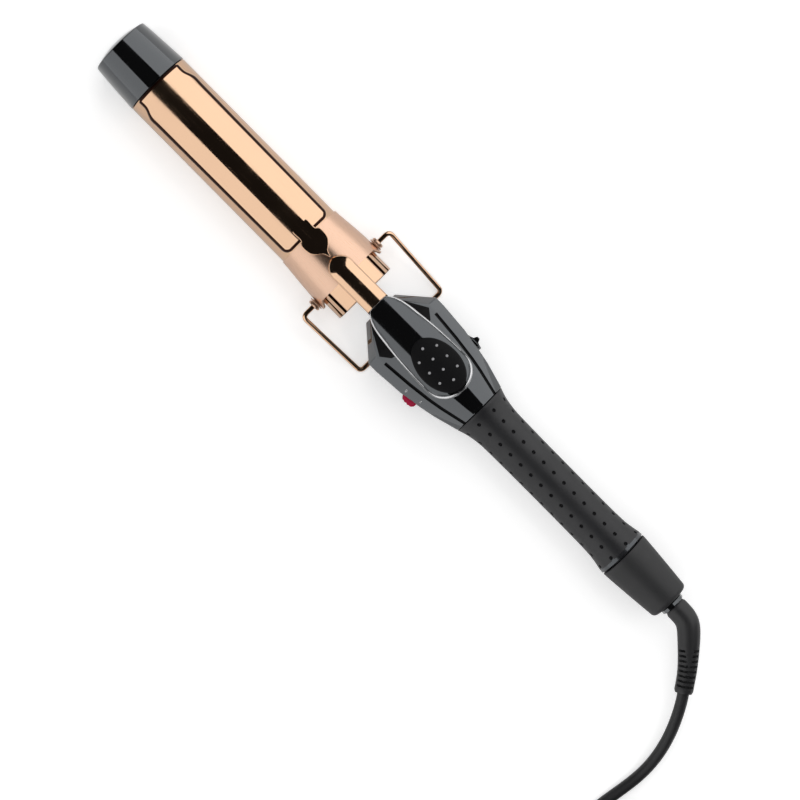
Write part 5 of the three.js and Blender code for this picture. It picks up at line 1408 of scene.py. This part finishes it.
def thumb_lever():
    """The teardrop lever: crowned across, with a bead round its edge and an oval recess for the pad."""
    wide = LEVER_HALF_WIDTH

    def half_width(u):
        return math.sqrt(max(wide**2 - (u - LEVER_ROUND) ** 2, 0)) if u > LEVER_ROUND else LEVER_SIDE(u)

    def top(u, v):
        edge = to_lever_edge(u, v)
        recess = 0.6 * MM * (1 - eased(pad_reach(u, v, -0.25 * MM), 0.93, 1.0))
        groove = 0.3 * MM if RIM_WIDTH < edge < RIM_GROOVE else 0
        return LEVER_TOP - lever_sag(v) - rolled(edge, 0.8 * MM) - recess - groove

    def bottom(u, v):
        return LEVER_BASE - 1.8 * MM * (v / wide) ** 2 + rolled(to_lever_edge(u, v), 0.35 * MM)

    return plate("thumb_lever_shell", (LEVER_START, LEVER_END, half_width), top, bottom, lever_place, 240, 90)


def lever_spot(point):
    """The u, v and h of a point in the lever's frame."""
    along, up = point.x - X_PIVOT, point.z - LEVER_Z
    c, s = math.cos(LEVER_RISE), math.sin(LEVER_RISE)
    return along * c + up * s, point.y, up * c - along * s


# Faces of the rim take silver: a painted highlight along the lever's rounded edge.
def on_lever_rim(centre, normal):
    u, v, h = lever_spot(centre)
    return to_lever_edge(u, v) < RIM_WIDTH and h > LEVER_BASE


def thumb_pad():
    start, end = PAD_CENTRE - PAD_LENGTH / 2, PAD_CENTRE + PAD_LENGTH / 2

    def half_width(u):
        return PAD_HALF_WIDTH * math.sqrt(max(1 - ((u - PAD_CENTRE) / (PAD_LENGTH / 2)) ** 2, 0))

    def top(u, v):
        edge = (1 - pad_reach(u, v)) * PAD_HALF_WIDTH
        hollow = 0.25 * MM * (1 - eased(pad_reach(u, v), 0.3, 0.95))
        return PAD_TOP - lever_sag(v) - rolled(edge, 0.5 * MM) - hollow

    def bottom(u, v):
        return LEVER_TOP - 0.5 * MM - lever_sag(v)

    return plate("thumb_pad_oval", (start, end, half_width), top, bottom, lever_place, 80, 36)


def pad_studs(pad):
    """The studs are grown over a copy of the pad's surface, and kept as a piece of their own."""
    studs = linked("thumb_pad_studs", pad.data.copy())
    # The studs take a grey that is a painted highlight, standing in for their glints.
    return grown(studs, stud_tree(), {
        "Middle": lever_place(PAD_CENTRE - 0.4 * MM, 0, PAD_TOP + 2 * MM), "Rise": LEVER_RISE, "Count": 4,
        "Pitch": 6.5 * MM, "Row Pitch": 5.4 * MM, "Radius": 0.65 * MM, "Material": finish_named("stud_grey")})


def leaf_spring():
    """The clamp's leaf spring in its CAD shape. Its front rests on the barrel."""
    node = frame["nodes"]["clamp_spring"]
    spring = linked("clamp_leaf_spring", node.data.copy())
    softened(spring, 0.05 * MM)
    spring.data.materials.clear()
    spring.data.materials.append(finish_named("steel"))
    lowest, highest = low("clamp_spring"), high("clamp_spring")
    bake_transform(spring)
    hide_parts("clamp_spring")


class CURLINGIRON_OT_clamp(bpy.types.Operator):
    """Makes the clamp's blade, saddle, boss and neck, with their rivets"""

    bl_idname = "curlingiron.clamp"
    bl_label = "Clamp"

    def execute(self, context):
        fitted(clamp_blade(), "clamp", "rose_gold", "clamp_blade", second=[("burnt_edge", on_blade_edge)])
        fitted(clamp_saddle(), "clamp", "rose_gold_satin", "clamp_saddle")
        fitted(blade_boss(), "clamp", "rose_gold", "blade_boss", slot="rose_gold_satin")
        fitted(lever_neck(), "clamp", "rose_gold", "lever_neck")
        slots = {row["node"]: row["material_slot"] for row in frame["record"]["subparts"]}
        for node in ("boss_rivet_1", "boss_rivet_2"):
            x = (low(node).x + high(node).x) / 2
            fitted(rivet(node + "_head", x), "clamp", "rose_gold", node, slot=slots[node])
        leaf_spring()
        return {"FINISHED"}


class CURLINGIRON_OT_lever(bpy.types.Operator):
    """Makes the thumb lever and its studded pad"""

    bl_idname = "curlingiron.lever"
    bl_label = "Thumb lever"

    def execute(self, context):
        fitted(thumb_lever(), "clamp", "gloss_black", "thumb_lever", second=[("rim_silver", on_lever_rim)])
        pad = thumb_pad()
        studs = pad_studs(pad)
        fitted(pad, "clamp", "pad_black", "thumb_pad", slot="grip_rubber")
        fitted(studs, "clamp", "stud_grey", slot=False)
        return {"FINISHED"}


# ---------------------------------------------------------------- hinge and stand


def hinge_pin(side):
    head = PIN_OUTER - 1.4 * MM
    bore = STAND_WIRE_RADIUS + RUNNING_GAP
    floor = WASHER_Y
    outline = [(PIN_INNER, 0), (PIN_INNER, PIN_RADIUS - 0.3 * MM), (PIN_INNER + 0.3 * MM, PIN_RADIUS),
               (head, PIN_RADIUS)]
    outline += [(head, PIN_HEAD_RADIUS - 0.15 * MM), (head + 0.15 * MM, PIN_HEAD_RADIUS)]
    outline += [(PIN_OUTER - 0.6 * MM, PIN_HEAD_RADIUS), (PIN_OUTER - 0.15 * MM, PIN_HEAD_RADIUS - 0.25 * MM)]
    outline += [(PIN_OUTER, PIN_HEAD_RADIUS - 0.7 * MM), (PIN_OUTER, bore), (floor, bore), (floor, 0)]
    return on_hinge(turned("hinge_pin_stud_" + side_name(side), outline, 48), side)


def hinge_washer(side):
    x0, x1, r, soft = WASHER_Y, WASHER_Y + WASHER_THICKNESS, WASHER_RADIUS, 0.15 * MM
    bore = PIN_RADIUS + RUNNING_GAP
    outline = [(x0, bore), (x0, r - soft), (x0 + soft, r), (x1 - soft, r), (x1, r - soft), (x1, bore)]
    return on_hinge(turned("hinge_washer_disc_" + side_name(side), outline, 48), side)


def stand_wire():
    """One bent wire: out of each hinge pin, down its leg, and across under the nose of the housing."""
    corner = 2.6 * MM
    half = [
        Vector((X_PIVOT, WASHER_Y + GAP, AXIS_Z)),
        Vector((X_PIVOT, STAND_HALF_WIDTH, AXIS_Z)),
        Vector((X_CROSSBAR, STAND_FOOT_HALF_WIDTH, CROSSBAR_Z)),
    ]
    corners = [*half, *(Vector((p.x, -p.y, p.z)) for p in reversed(half))]
    route = [corners[0]]
    for before, here, after in zip(corners, corners[1:], corners[2:]):
        into, away = (here - before).normalized(), (after - here).normalized()
        back = corner * math.tan(into.angle(away) / 2)
        start, end = here - into * back, here + away * back
        for k in range(13):
            t = k / 12
            route.append((1 - t) ** 2 * start + 2 * t * (1 - t) * here + t * t * end)
    route.append(corners[-1])
    return tube_along("stand_wire_bail", route, lambda share: STAND_WIRE_RADIUS, 24)


class CURLINGIRON_OT_stand(bpy.types.Operator):
    """Makes the wire stand, the hinge pins that it turns in and their washers"""

    bl_idname = "curlingiron.stand"
    bl_label = "Stand and hinge"

    def execute(self, context):
        fitted(stand_wire(), "stand", "rose_gold", "stand_wire")
        for side, name in ((1, "left"), (-1, "right")):
            fitted(hinge_pin(side), "handle", "rose_gold_satin", "hinge_pin_" + name)
            fitted(hinge_washer(side), "handle", "rose_gold_satin", "hinge_washer_" + name)
        return {"FINISHED"}


# ---------------------------------------------------------------- housing

REAR_FLAT = GRIP_FRONT_RADIUS * math.tan(math.pi / 8)
# [distance from the nose, half width, half width of the crown, top, fall of the crown, depth, upright side]
HOUSING_STATIONS = [
    (0, 9 * MM, 6.3 * MM, 9.5 * MM, 0.6 * MM, 9 * MM, 3.5 * MM),
    (14 * MM, HOUSING_HALF_WIDTH, 16.4 * MM, HOUSING_TOP, 3.6 * MM, BELLY_DEPTH, 5 * MM),
    (18.9 * MM, HOUSING_HALF_WIDTH, 16 * MM, HOUSING_TOP, 5 * MM, BELLY_DEPTH, 5.2 * MM),
    (33.3 * MM, HOUSING_HALF_WIDTH - 1.1 * MM, 14.8 * MM, HOUSING_TOP, 4.7 * MM, BELLY_DEPTH, 5.3 * MM),
    (44.6 * MM, HOUSING_HALF_WIDTH - 2.9 * MM, 13.4 * MM, HOUSING_TOP, 4.4 * MM, BELLY_DEPTH, 5.4 * MM),
    (51.3 * MM, HOUSING_HALF_WIDTH - 4.2 * MM, 12.2 * MM, HOUSING_TOP, 4.2 * MM, BELLY_DEPTH - 0.6 * MM, 5.5 * MM),
    (X_HOUSING_REAR - X_NOSE, GRIP_FRONT_RADIUS, 9.5 * MM, GRIP_FRONT_RADIUS, 3.83 * MM, GRIP_FRONT_RADIUS,
     REAR_FLAT),
]
CROWN_STEPS = 8
GROOVE_FROM = 2
TRIM_RADIUS = 0.9 * MM
CROSSBAR_ROOF = CROSSBAR_Z + STAND_WIRE_RADIUS + 1.5 * GAP


def housing_ring(station, inset):
    u, w, crown, top, fall, depth, side = station
    belly = min(12 * MM, (crown + w) / 2)
    reach = crown - 0.4 * inset
    right = [(reach * k / CROWN_STEPS, top - inset - fall * (k / CROWN_STEPS) ** 2)
             for k in range(1, CROWN_STEPS + 1)]
    right += [(w - inset, side - 0.3 * inset), (w - inset, -side), (belly - 0.4 * inset, inset - depth)]
    ring = [(0, top - inset)] + right + [(-y, z) for y, z in reversed(right)]
    return [(X_NOSE + u, y, AXIS_Z + z) for y, z in ring]


def between_stations(u):
    for a, b in zip(HOUSING_STATIONS, HOUSING_STATIONS[1:]):
        if u <= b[0]:
            share = (u - a[0]) / (b[0] - a[0])
            return tuple(p + share * (q - p) for p, q in zip(a, b))
    return HOUSING_STATIONS[-1]


def housing_form(name, inset, start, end):
    inside = [s for s in HOUSING_STATIONS if start < s[0] < end]
    stations = [between_stations(start), *inside, between_stations(end)]
    return lofted(name, [housing_ring(s, inset) for s in stations], sharp=12)


def crossbar_groove(grow):
    front = X_CROSSBAR - STAND_WIRE_RADIUS - 1.9 * MM - grow
    rear = X_CROSSBAR + STAND_WIRE_RADIUS + 2 * GAP + grow
    return block("crossbar_groove", (front, -FAR, -0.01), (rear, FAR, CROSSBAR_ROOF + grow))


def trim_points(side):
    return [
        Vector((X_NOSE + u, side * crown, AXIS_Z + top - fall + 0.1 * MM))
        for u, _, crown, top, fall, _, _ in HOUSING_STATIONS[GROOVE_FROM:]
    ]


def trim_line(side):
    """The groove along the edge of the crown, from its widest place to the grip."""
    return tube_along("trim_line", trim_points(side), lambda share: TRIM_RADIUS, 12)


# Faces in the groove take near-black: painted shade in the groove.
def in_trim_line(centre, normal):
    """Whether a face lies in the groove: below the skin, and within its radius of the groove's line."""
    point = Vector((centre.x, abs(centre.y), centre.z))
    for a, b in zip(trim_points(1), trim_points(1)[1:]):
        share = min(max((point - a).dot(b - a) / (b - a).length_squared, 0), 1)
        off = (point - a - (b - a) * share).length
        if 0.6 * TRIM_RADIUS < off < 1.05 * TRIM_RADIUS:
            facing = Vector((normal.x, math.copysign(normal.y, normal.y * centre.y), normal.z))
            return facing.dot(a + (b - a) * share - point) > 0
    return False


# The outline of a cheek's painted shade skin, as (x, distance from the middle) in the row frame.
CHEEK_OUTLINE = in_mm(0, (-7.6, 3), (-7.6, 8.3), (5.0, 15.6), (9.4, 12.2), (11.5, 3))
SKIN_RISE = 0.04 * MM
SKIN_SINK = 0.4 * MM


def cheek_painted_shade(side):
    """A thin dark skin over the front of the housing's crown, beside the lever, that paints the shade seen there."""
    skin = housing_form("cheek_inset_" + side_name(side), -SKIN_RISE, 0, 24 * MM)
    cut(skin, housing_form("under_skin", SKIN_SINK, -1 * MM, 25 * MM), sharp=12)
    outline = [(x, side * y) for x, y in CHEEK_OUTLINE][::side]
    column = prism("cheek_outline", outline, AXIS_Z + 3 * MM, AXIS_Z + 40 * MM, along_z)
    return cut(skin, column, "INTERSECT", 12)


def housing_shell(name):
    length = X_HOUSING_REAR - X_NOSE
    shell = softened(housing_form(name, 0, 0, length), settings().edge_radius, 3, 8, 12)
    for side in (1, -1):
        cut(shell, trim_line(side), sharp=12)
    cavity = housing_form("cavity", HOUSING_WALL, 2 * HOUSING_WALL, length - 1.5 * HOUSING_WALL)
    cut(cavity, crossbar_groove(HOUSING_WALL))
    cut(shell, cavity, sharp=12)
    stem_end = X_NOSE + 3 * HOUSING_WALL
    cut(shell, rod("stem_hole", (X_NOSE - MM, 0, AXIS_Z), (stem_end, 0, AXIS_Z), 5.8 * MM), sharp=12)
    core_start = X_HOUSING_REAR - 3 * HOUSING_WALL
    core = rod("core_hole", (core_start, 0, AXIS_Z), (X_GRIP + MM, 0, AXIS_Z), CORE_RADIUS + GAP)
    cut(shell, core, sharp=12)
    cut(shell, crossbar_groove(0), sharp=12)
    return side_pockets(shell)


def side_pockets(shell):
    """Flat pockets for the slide switch and the dial, with the holes through their floors."""
    half, high_side = 8.2 * MM, 4.1 * MM
    cuts = [
        block("switch_pocket", (X_SWITCH - half, -FAR, AXIS_Z - high_side),
              (X_SWITCH + half, -SIDE_POCKET_Y, AXIS_Z + high_side)),
        block("switch_slot", (X_SWITCH - 6.8 * MM, -FAR, AXIS_Z - 1.6 * MM),
              (X_SWITCH + 6.8 * MM, -8 * MM, AXIS_Z + 1.6 * MM)),
        rod("dial_pocket", (X_DIAL, SIDE_POCKET_Y, AXIS_Z), (X_DIAL, FAR, AXIS_Z), DIAL_RADIUS + 2 * GAP),
        rod("dial_hole", (X_DIAL, 8 * MM, AXIS_Z), (X_DIAL, FAR, AXIS_Z), 1.8 * MM),
    ]
    for tool in cuts:
        cut(shell, tool, sharp=12)
    return shell


def screw_places():
    xs = sorted({round((low(f"housing_screw_{n}").x + high(f"housing_screw_{n}").x) / 2, 6) for n in (1, 2, 3, 4)})
    y = (low("housing_screw_1").y + high("housing_screw_1").y) / 2
    return xs, y


def housing_half(upper):
    shell = housing_shell("upper_housing_shell" if upper else "lower_housing_shell")
    split = GAP / 2
    if upper:
        keep = block("upper_side", (X_NOSE - 0.01, -0.05, AXIS_Z + split), (X_GRIP + 0.01, 0.05, AXIS_Z + 0.05))
    else:
        keep = block("lower_side", (X_NOSE - 0.01, -0.05, -0.05), (X_GRIP + 0.01, 0.05, AXIS_Z - split))
    cut(shell, keep, "INTERSECT", 12)
    if not upper:
        xs, y = screw_places()
        seat = high("housing_screw_1").z - 14 * MM
        for x in xs:
            for side in (1, -1):
                place = (x, side * y, -0.01)
                cut(shell, rod("screw_seat", place, (x, side * y, seat), 2.9 * MM), sharp=12)
    return shell


def housing_screws():
    xs, y = screw_places()
    box_low, box_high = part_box("housing_screw_1")
    head = 1.2 * MM
    carrier = linked("housing_screws", bpy.data.meshes.new("housing_screws"))
    return grown(carrier, screw_tree(), {
        "Middle": ((xs[0] + xs[1]) / 2, 0, box_low.z + head / 2), "Pitch X": xs[1] - xs[0], "Pitch Y": 2 * abs(y),
        "Head Radius": 2.6 * MM, "Head Depth": head, "Shank Radius": 1.25 * MM,
        "Shank Length": box_high.z - box_low.z - head, "Material": finish_named("steel")})


def switch_slider():
    """The slide: a thumb piece with chamfered ends and three ribs, on a tongue through its slot."""
    seat = -(SIDE_POCKET_Y + GAP)
    top = low("switch_slider").y
    half, tall = 3.6 * MM, 3.5 * MM
    outline = [(X_SWITCH - half, seat), (X_SWITCH + half, seat), (X_SWITCH + half, top + 1.6 * MM),
               (X_SWITCH + half - 0.9 * MM, top + 0.5 * MM), (X_SWITCH + half - 2 * MM, top),
               (X_SWITCH - half + 2 * MM, top), (X_SWITCH - half + 0.9 * MM, top + 0.5 * MM),
               (X_SWITCH - half, top + 1.6 * MM)]
    thumb = softened(prism("switch_slider_thumb", outline, AXIS_Z - tall, AXIS_Z + tall, along_z), 0.35 * MM, 3)
    for k in (-1, 0, 1):
        x = X_SWITCH + k * 1.7 * MM
        ends = [(x, top - 0.2 * MM, AXIS_Z + z) for z in (-5 * MM, 5 * MM)]
        cut(thumb, rod("groove", *ends, 0.55 * MM))
    tongue = block("tongue", (X_SWITCH - 2.2 * MM, seat - 0.2 * MM, AXIS_Z - 1.3 * MM),
                   (X_SWITCH + 2.2 * MM, high("switch_slider").y, AXIS_Z + 1.3 * MM))
    return joined(thumb, softened(tongue, 0.15 * MM, 2))


def heat_dial():
    """The dial: a knurled flange with a flared fin to turn it by."""
    seat, top = low("heat_dial").y, high("heat_dial").y
    flange = 1.5 * MM
    ring = []
    for k in range(96):
        a = math.tau * k / 96
        r = DIAL_RADIUS - 0.12 * MM * (k % 4 < 2)
        ring.append((r * math.cos(a), r * math.sin(a)))
    rings = [[(X_DIAL + x * s, y, AXIS_Z + z * s) for x, z in ring]
             for y, s in ((seat, 0.97), (seat + 0.15 * MM, 1), (seat + flange - 0.3 * MM, 1), (seat + flange, 0.93))]
    knob = lofted("heat_dial_knob", rings)
    t, base, r = 0.9 * MM, seat + flange - 0.2 * MM, DIAL_RADIUS - 0.6 * MM
    outline = [(X_DIAL - r, base), (X_DIAL - t - 0.6 * MM, base + 0.7 * MM), (X_DIAL - t, top - 0.35 * MM),
               (X_DIAL - t + 0.35 * MM, top), (X_DIAL + t - 0.35 * MM, top), (X_DIAL + t, top - 0.35 * MM),
               (X_DIAL + t + 0.6 * MM, base + 0.7 * MM), (X_DIAL + r, base)]
    fin = prism("fin", outline, AXIS_Z - DIAL_RADIUS, AXIS_Z + DIAL_RADIUS, along_z)
    round_off = rod("round", (X_DIAL, seat, AXIS_Z), (X_DIAL, top + MM, AXIS_Z), DIAL_RADIUS - 0.35 * MM, 64)
    cut(fin, round_off, "INTERSECT")
    return joined(knob, softened(fin, 0.2 * MM, 2, 40))


def switch_marks():
    """The figures 0, 1 and 2 beside the three places of the switch, on the slope above it."""
    marks = []
    for figure, shift in (("0", -4), ("1", 0), ("2", 4)):
        text = bpy.data.curves.new("mark_" + figure, "FONT")
        text.body = figure
        text.size = 2.1 * MM
        text.align_x = "CENTER"
        text.extrude = 0.02 * MM
        holder = linked("mark_" + figure, text)
        graph = bpy.context.evaluated_depsgraph_get()
        mesh = bpy.data.meshes.new_from_object(holder.evaluated_get(graph))
        bpy.data.objects.remove(holder)
        x = X_SWITCH + shift * MM
        _, w, crown, top, fall, _, side = between_stations(x - X_NOSE)
        rise = top - fall - side
        lean = math.atan2(rise, w - crown)
        share = 0.3
        place = Vector((x, share * (w - crown) - w - 0.03 * MM, AXIS_Z + side + rise * share))
        mesh.transform(Matrix.Translation(place) @ Matrix.Rotation(lean, 4, "X"))
        marks.append(linked("switch_mark_" + figure, mesh))
    return joined(marks[0], *marks[1:])


class CURLINGIRON_OT_housing(bpy.types.Operator):
    """Makes the two halves of the housing and the screws that hold them"""

    bl_idname = "curlingiron.housing"
    bl_label = "Housing"

    def execute(self, context):
        fitted(housing_half(True), "handle", "gloss_black", "upper_housing", second=[("pad_black", in_trim_line)])
        fitted(housing_half(False), "handle", "gloss_black", "lower_housing")
        for side in (1, -1):
            fitted(cheek_painted_shade(side), "handle", "pad_black", slot="gloss_black")
        screws = [f"housing_screw_{n}" for n in (1, 2, 3, 4)]
        fitted(housing_screws(), "handle", "steel", *screws)
        return {"FINISHED"}


class CURLINGIRON_OT_controls(bpy.types.Operator):
    """Makes the slide switch with its marks, and the heat dial"""

    bl_idname = "curlingiron.controls"
    bl_label = "Switch and dial"

    def execute(self, context):
        fitted(switch_slider(), "power_switch", "switch_red", "switch_slider")
        fitted(switch_marks(), "handle", "label_white", slot=False)
        fitted(heat_dial(), "heat_dial", "gloss_black", "heat_dial", slot="satin_black")
        return {"FINISHED"}


# ---------------------------------------------------------------- grip, cone and collar


GRIP_RADIUS = width_table([
    (X_GRIP, GRIP_FRONT_RADIUS), *in_mm(X_GRIP, (2.5, 12.79), (5.9, 11.9), (10.4, 11.2), (14.9, 10.9)),
    (X_GRIP + 40 * MM, GRIP_WAIST_RADIUS), *in_mm(X_GRIP_REAR, (-18, 10.72), (-9, 11.05), (-4.5, 11.73)),
    (X_GRIP_REAR - 0.9 * MM, GRIP_REAR_RADIUS)])


# Faces in a dimple take near-black: painted shade in its hollow.
def in_dimple(centre, normal):
    inside = GRIP_RADIUS(centre.x) - math.hypot(centre.y, centre.z - AXIS_Z)
    return 0.12 * MM < inside < 1 * MM and X_GRIP + 2 * MM < centre.x < X_GRIP_REAR - 2 * MM


def on_rear_ring(centre, normal):
    return X_GRIP_REAR - 2.4 * MM < centre.x < X_GRIP_REAR - 0.6 * MM


def grip_sleeve():
    """The waisted rubber sleeve, dimpled all over."""
    front, rear = GRIP_FRONT_RADIUS, GRIP_REAR_RADIUS
    bore, soft = CORE_RADIUS + GAP, 0.15 * MM
    outline = [(X_GRIP, bore), (X_GRIP, front - soft), (X_GRIP + 0.05 * MM, front - 0.05 * MM)]
    span = X_GRIP_REAR - soft - X_GRIP - soft
    outline += [(x, GRIP_RADIUS(x)) for x in (X_GRIP + soft + span * k / 60 for k in range(61))]
    outline += [(X_GRIP_REAR - 0.05 * MM, rear - 0.06 * MM), (X_GRIP_REAR, rear - soft), (X_GRIP_REAR, bore)]
    sleeve = turned("grip_rubber_sleeve", outline, 128, 50)
    p = settings()
    depth = 0.6 * MM
    ball = (p.dimple_radius**2 + depth**2) / (2 * depth)
    return grown(sleeve, dimple_tree(), {
        "Rows": p.dimple_rows, "Columns": p.dimple_columns, "Pitch": p.dimple_pitch,
        "First X": X_GRIP + 4.6 * MM, "Axis Z": AXIS_Z, "Ball Radius": ball, "Ball Lift": ball - depth,
        "Roll": math.radians(-3.7), "Material": finish_named("grip_rubber")})


def rear_cone():
    end, front = X_CONE_REAR, CORE_RADIUS + GAP
    round_off = 2.2 * MM
    shelf = X_GRIP_REAR + 7.3 * MM
    outline = [(X_CONE, front), (X_CONE, CONE_FRONT_RADIUS - 0.15 * MM),
               (X_CONE + 0.05 * MM, CONE_FRONT_RADIUS - 0.05 * MM)]
    span = end - round_off - X_CONE - 0.4 * MM
    taper = CONE_FRONT_RADIUS - CONE_REAR_RADIUS
    outline += [(X_CONE + 0.4 * MM + span * k / 16, CONE_FRONT_RADIUS - taper * (k / 16) ** 1.15) for k in range(17)]
    outline += arc((end - round_off, CONE_REAR_RADIUS - round_off), round_off, 80, 0, 8)
    outline += [(end, SPINDLE_RADIUS + GAP), (end - 2 * MM, SPINDLE_RADIUS + GAP),
                (end - 2 * MM, CONE_REAR_RADIUS - 2 * MM),
                (shelf, CONE_FRONT_RADIUS - 3.2 * MM), (shelf, front)]
    return turned("rear_cone_shell", outline, 96, 40)


def swivel_collar():
    inner, soft = SPINDLE_RADIUS + GAP, 0.3 * MM
    x0, x1 = X_COLLAR, X_EXIT
    outline = [(x0, inner), (x0, COLLAR_RADIUS - soft), (x0 + soft, COLLAR_RADIUS), (x1 - soft, COLLAR_RADIUS),
               (x1, COLLAR_RADIUS - soft), (x1, inner)]
    return turned("swivel_collar_ring", outline, 12, 15)


class CURLINGIRON_OT_grip(bpy.types.Operator):
    """Makes the dimpled grip, the cone behind it and the swivel's collar"""

    bl_idname = "curlingiron.grip"
    bl_label = "Grip and cone"

    def execute(self, context):
        fitted(grip_sleeve(), "handle", "grip_rubber", "grip_sleeve",
               second=[("pad_black", in_dimple), ("ring_black", on_rear_ring)])
        fitted(rear_cone(), "handle", "cone_black", "rear_cone", slot="satin_black")
        fitted(swivel_collar(), "swivel", "gloss_black", "swivel_collar")
        return {"FINISHED"}


class CURLINGIRON_OT_inner_parts(bpy.types.Operator):
    """Gives the parts that keep their CAD shape their materials"""

    bl_idname = "curlingiron.inner_parts"
    bl_label = "Inner parts"

    def execute(self, context):
        for row in frame["record"]["subparts"]:
            node = frame["nodes"][row["node"]]
            finish = finish_named(row["material_slot"])
            if not node.material_slots:
                node.data.materials.append(finish)
            for holder in node.material_slots:
                holder.material = finish
        return {"FINISHED"}


# ---------------------------------------------------------------- panel, registration and main


class CURLINGIRON_PT_panel(bpy.types.Panel):
    """Lists the operators and the settings in the 3D view's sidebar"""

    bl_idname = "CURLINGIRON_PT_panel"
    bl_label = "Curling iron"
    bl_space_type = "VIEW_3D"
    bl_region_type = "UI"
    bl_category = "Curling iron"

    def draw(self, context):
        for key in CurlingIronSettings.__annotations__:
            self.layout.prop(context.scene.curling_iron, key)
        for kind in OPERATORS:
            self.layout.operator(kind.bl_idname)


OPERATORS = (
    CURLINGIRON_OT_stage,
    CURLINGIRON_OT_cord,
    CURLINGIRON_OT_barrel,
    CURLINGIRON_OT_clamp,
    CURLINGIRON_OT_lever,
    CURLINGIRON_OT_stand,
    CURLINGIRON_OT_housing,
    CURLINGIRON_OT_controls,
    CURLINGIRON_OT_grip,
    CURLINGIRON_OT_inner_parts,
)
CLASSES = (CurlingIronSettings, *OPERATORS, CURLINGIRON_PT_panel)


def register():
    for kind in CLASSES:
        bpy.utils.register_class(kind)
    bpy.types.Scene.curling_iron = bpy.props.PointerProperty(type=CurlingIronSettings)


def unregister():
    del bpy.types.Scene.curling_iron
    for kind in reversed(CLASSES):
        bpy.utils.unregister_class(kind)


def main():
    register()
    for kind in OPERATORS:
        space, name = kind.bl_idname.split(".")
        getattr(getattr(bpy.ops, space), name)()


if __name__ == "__main__":
    main()
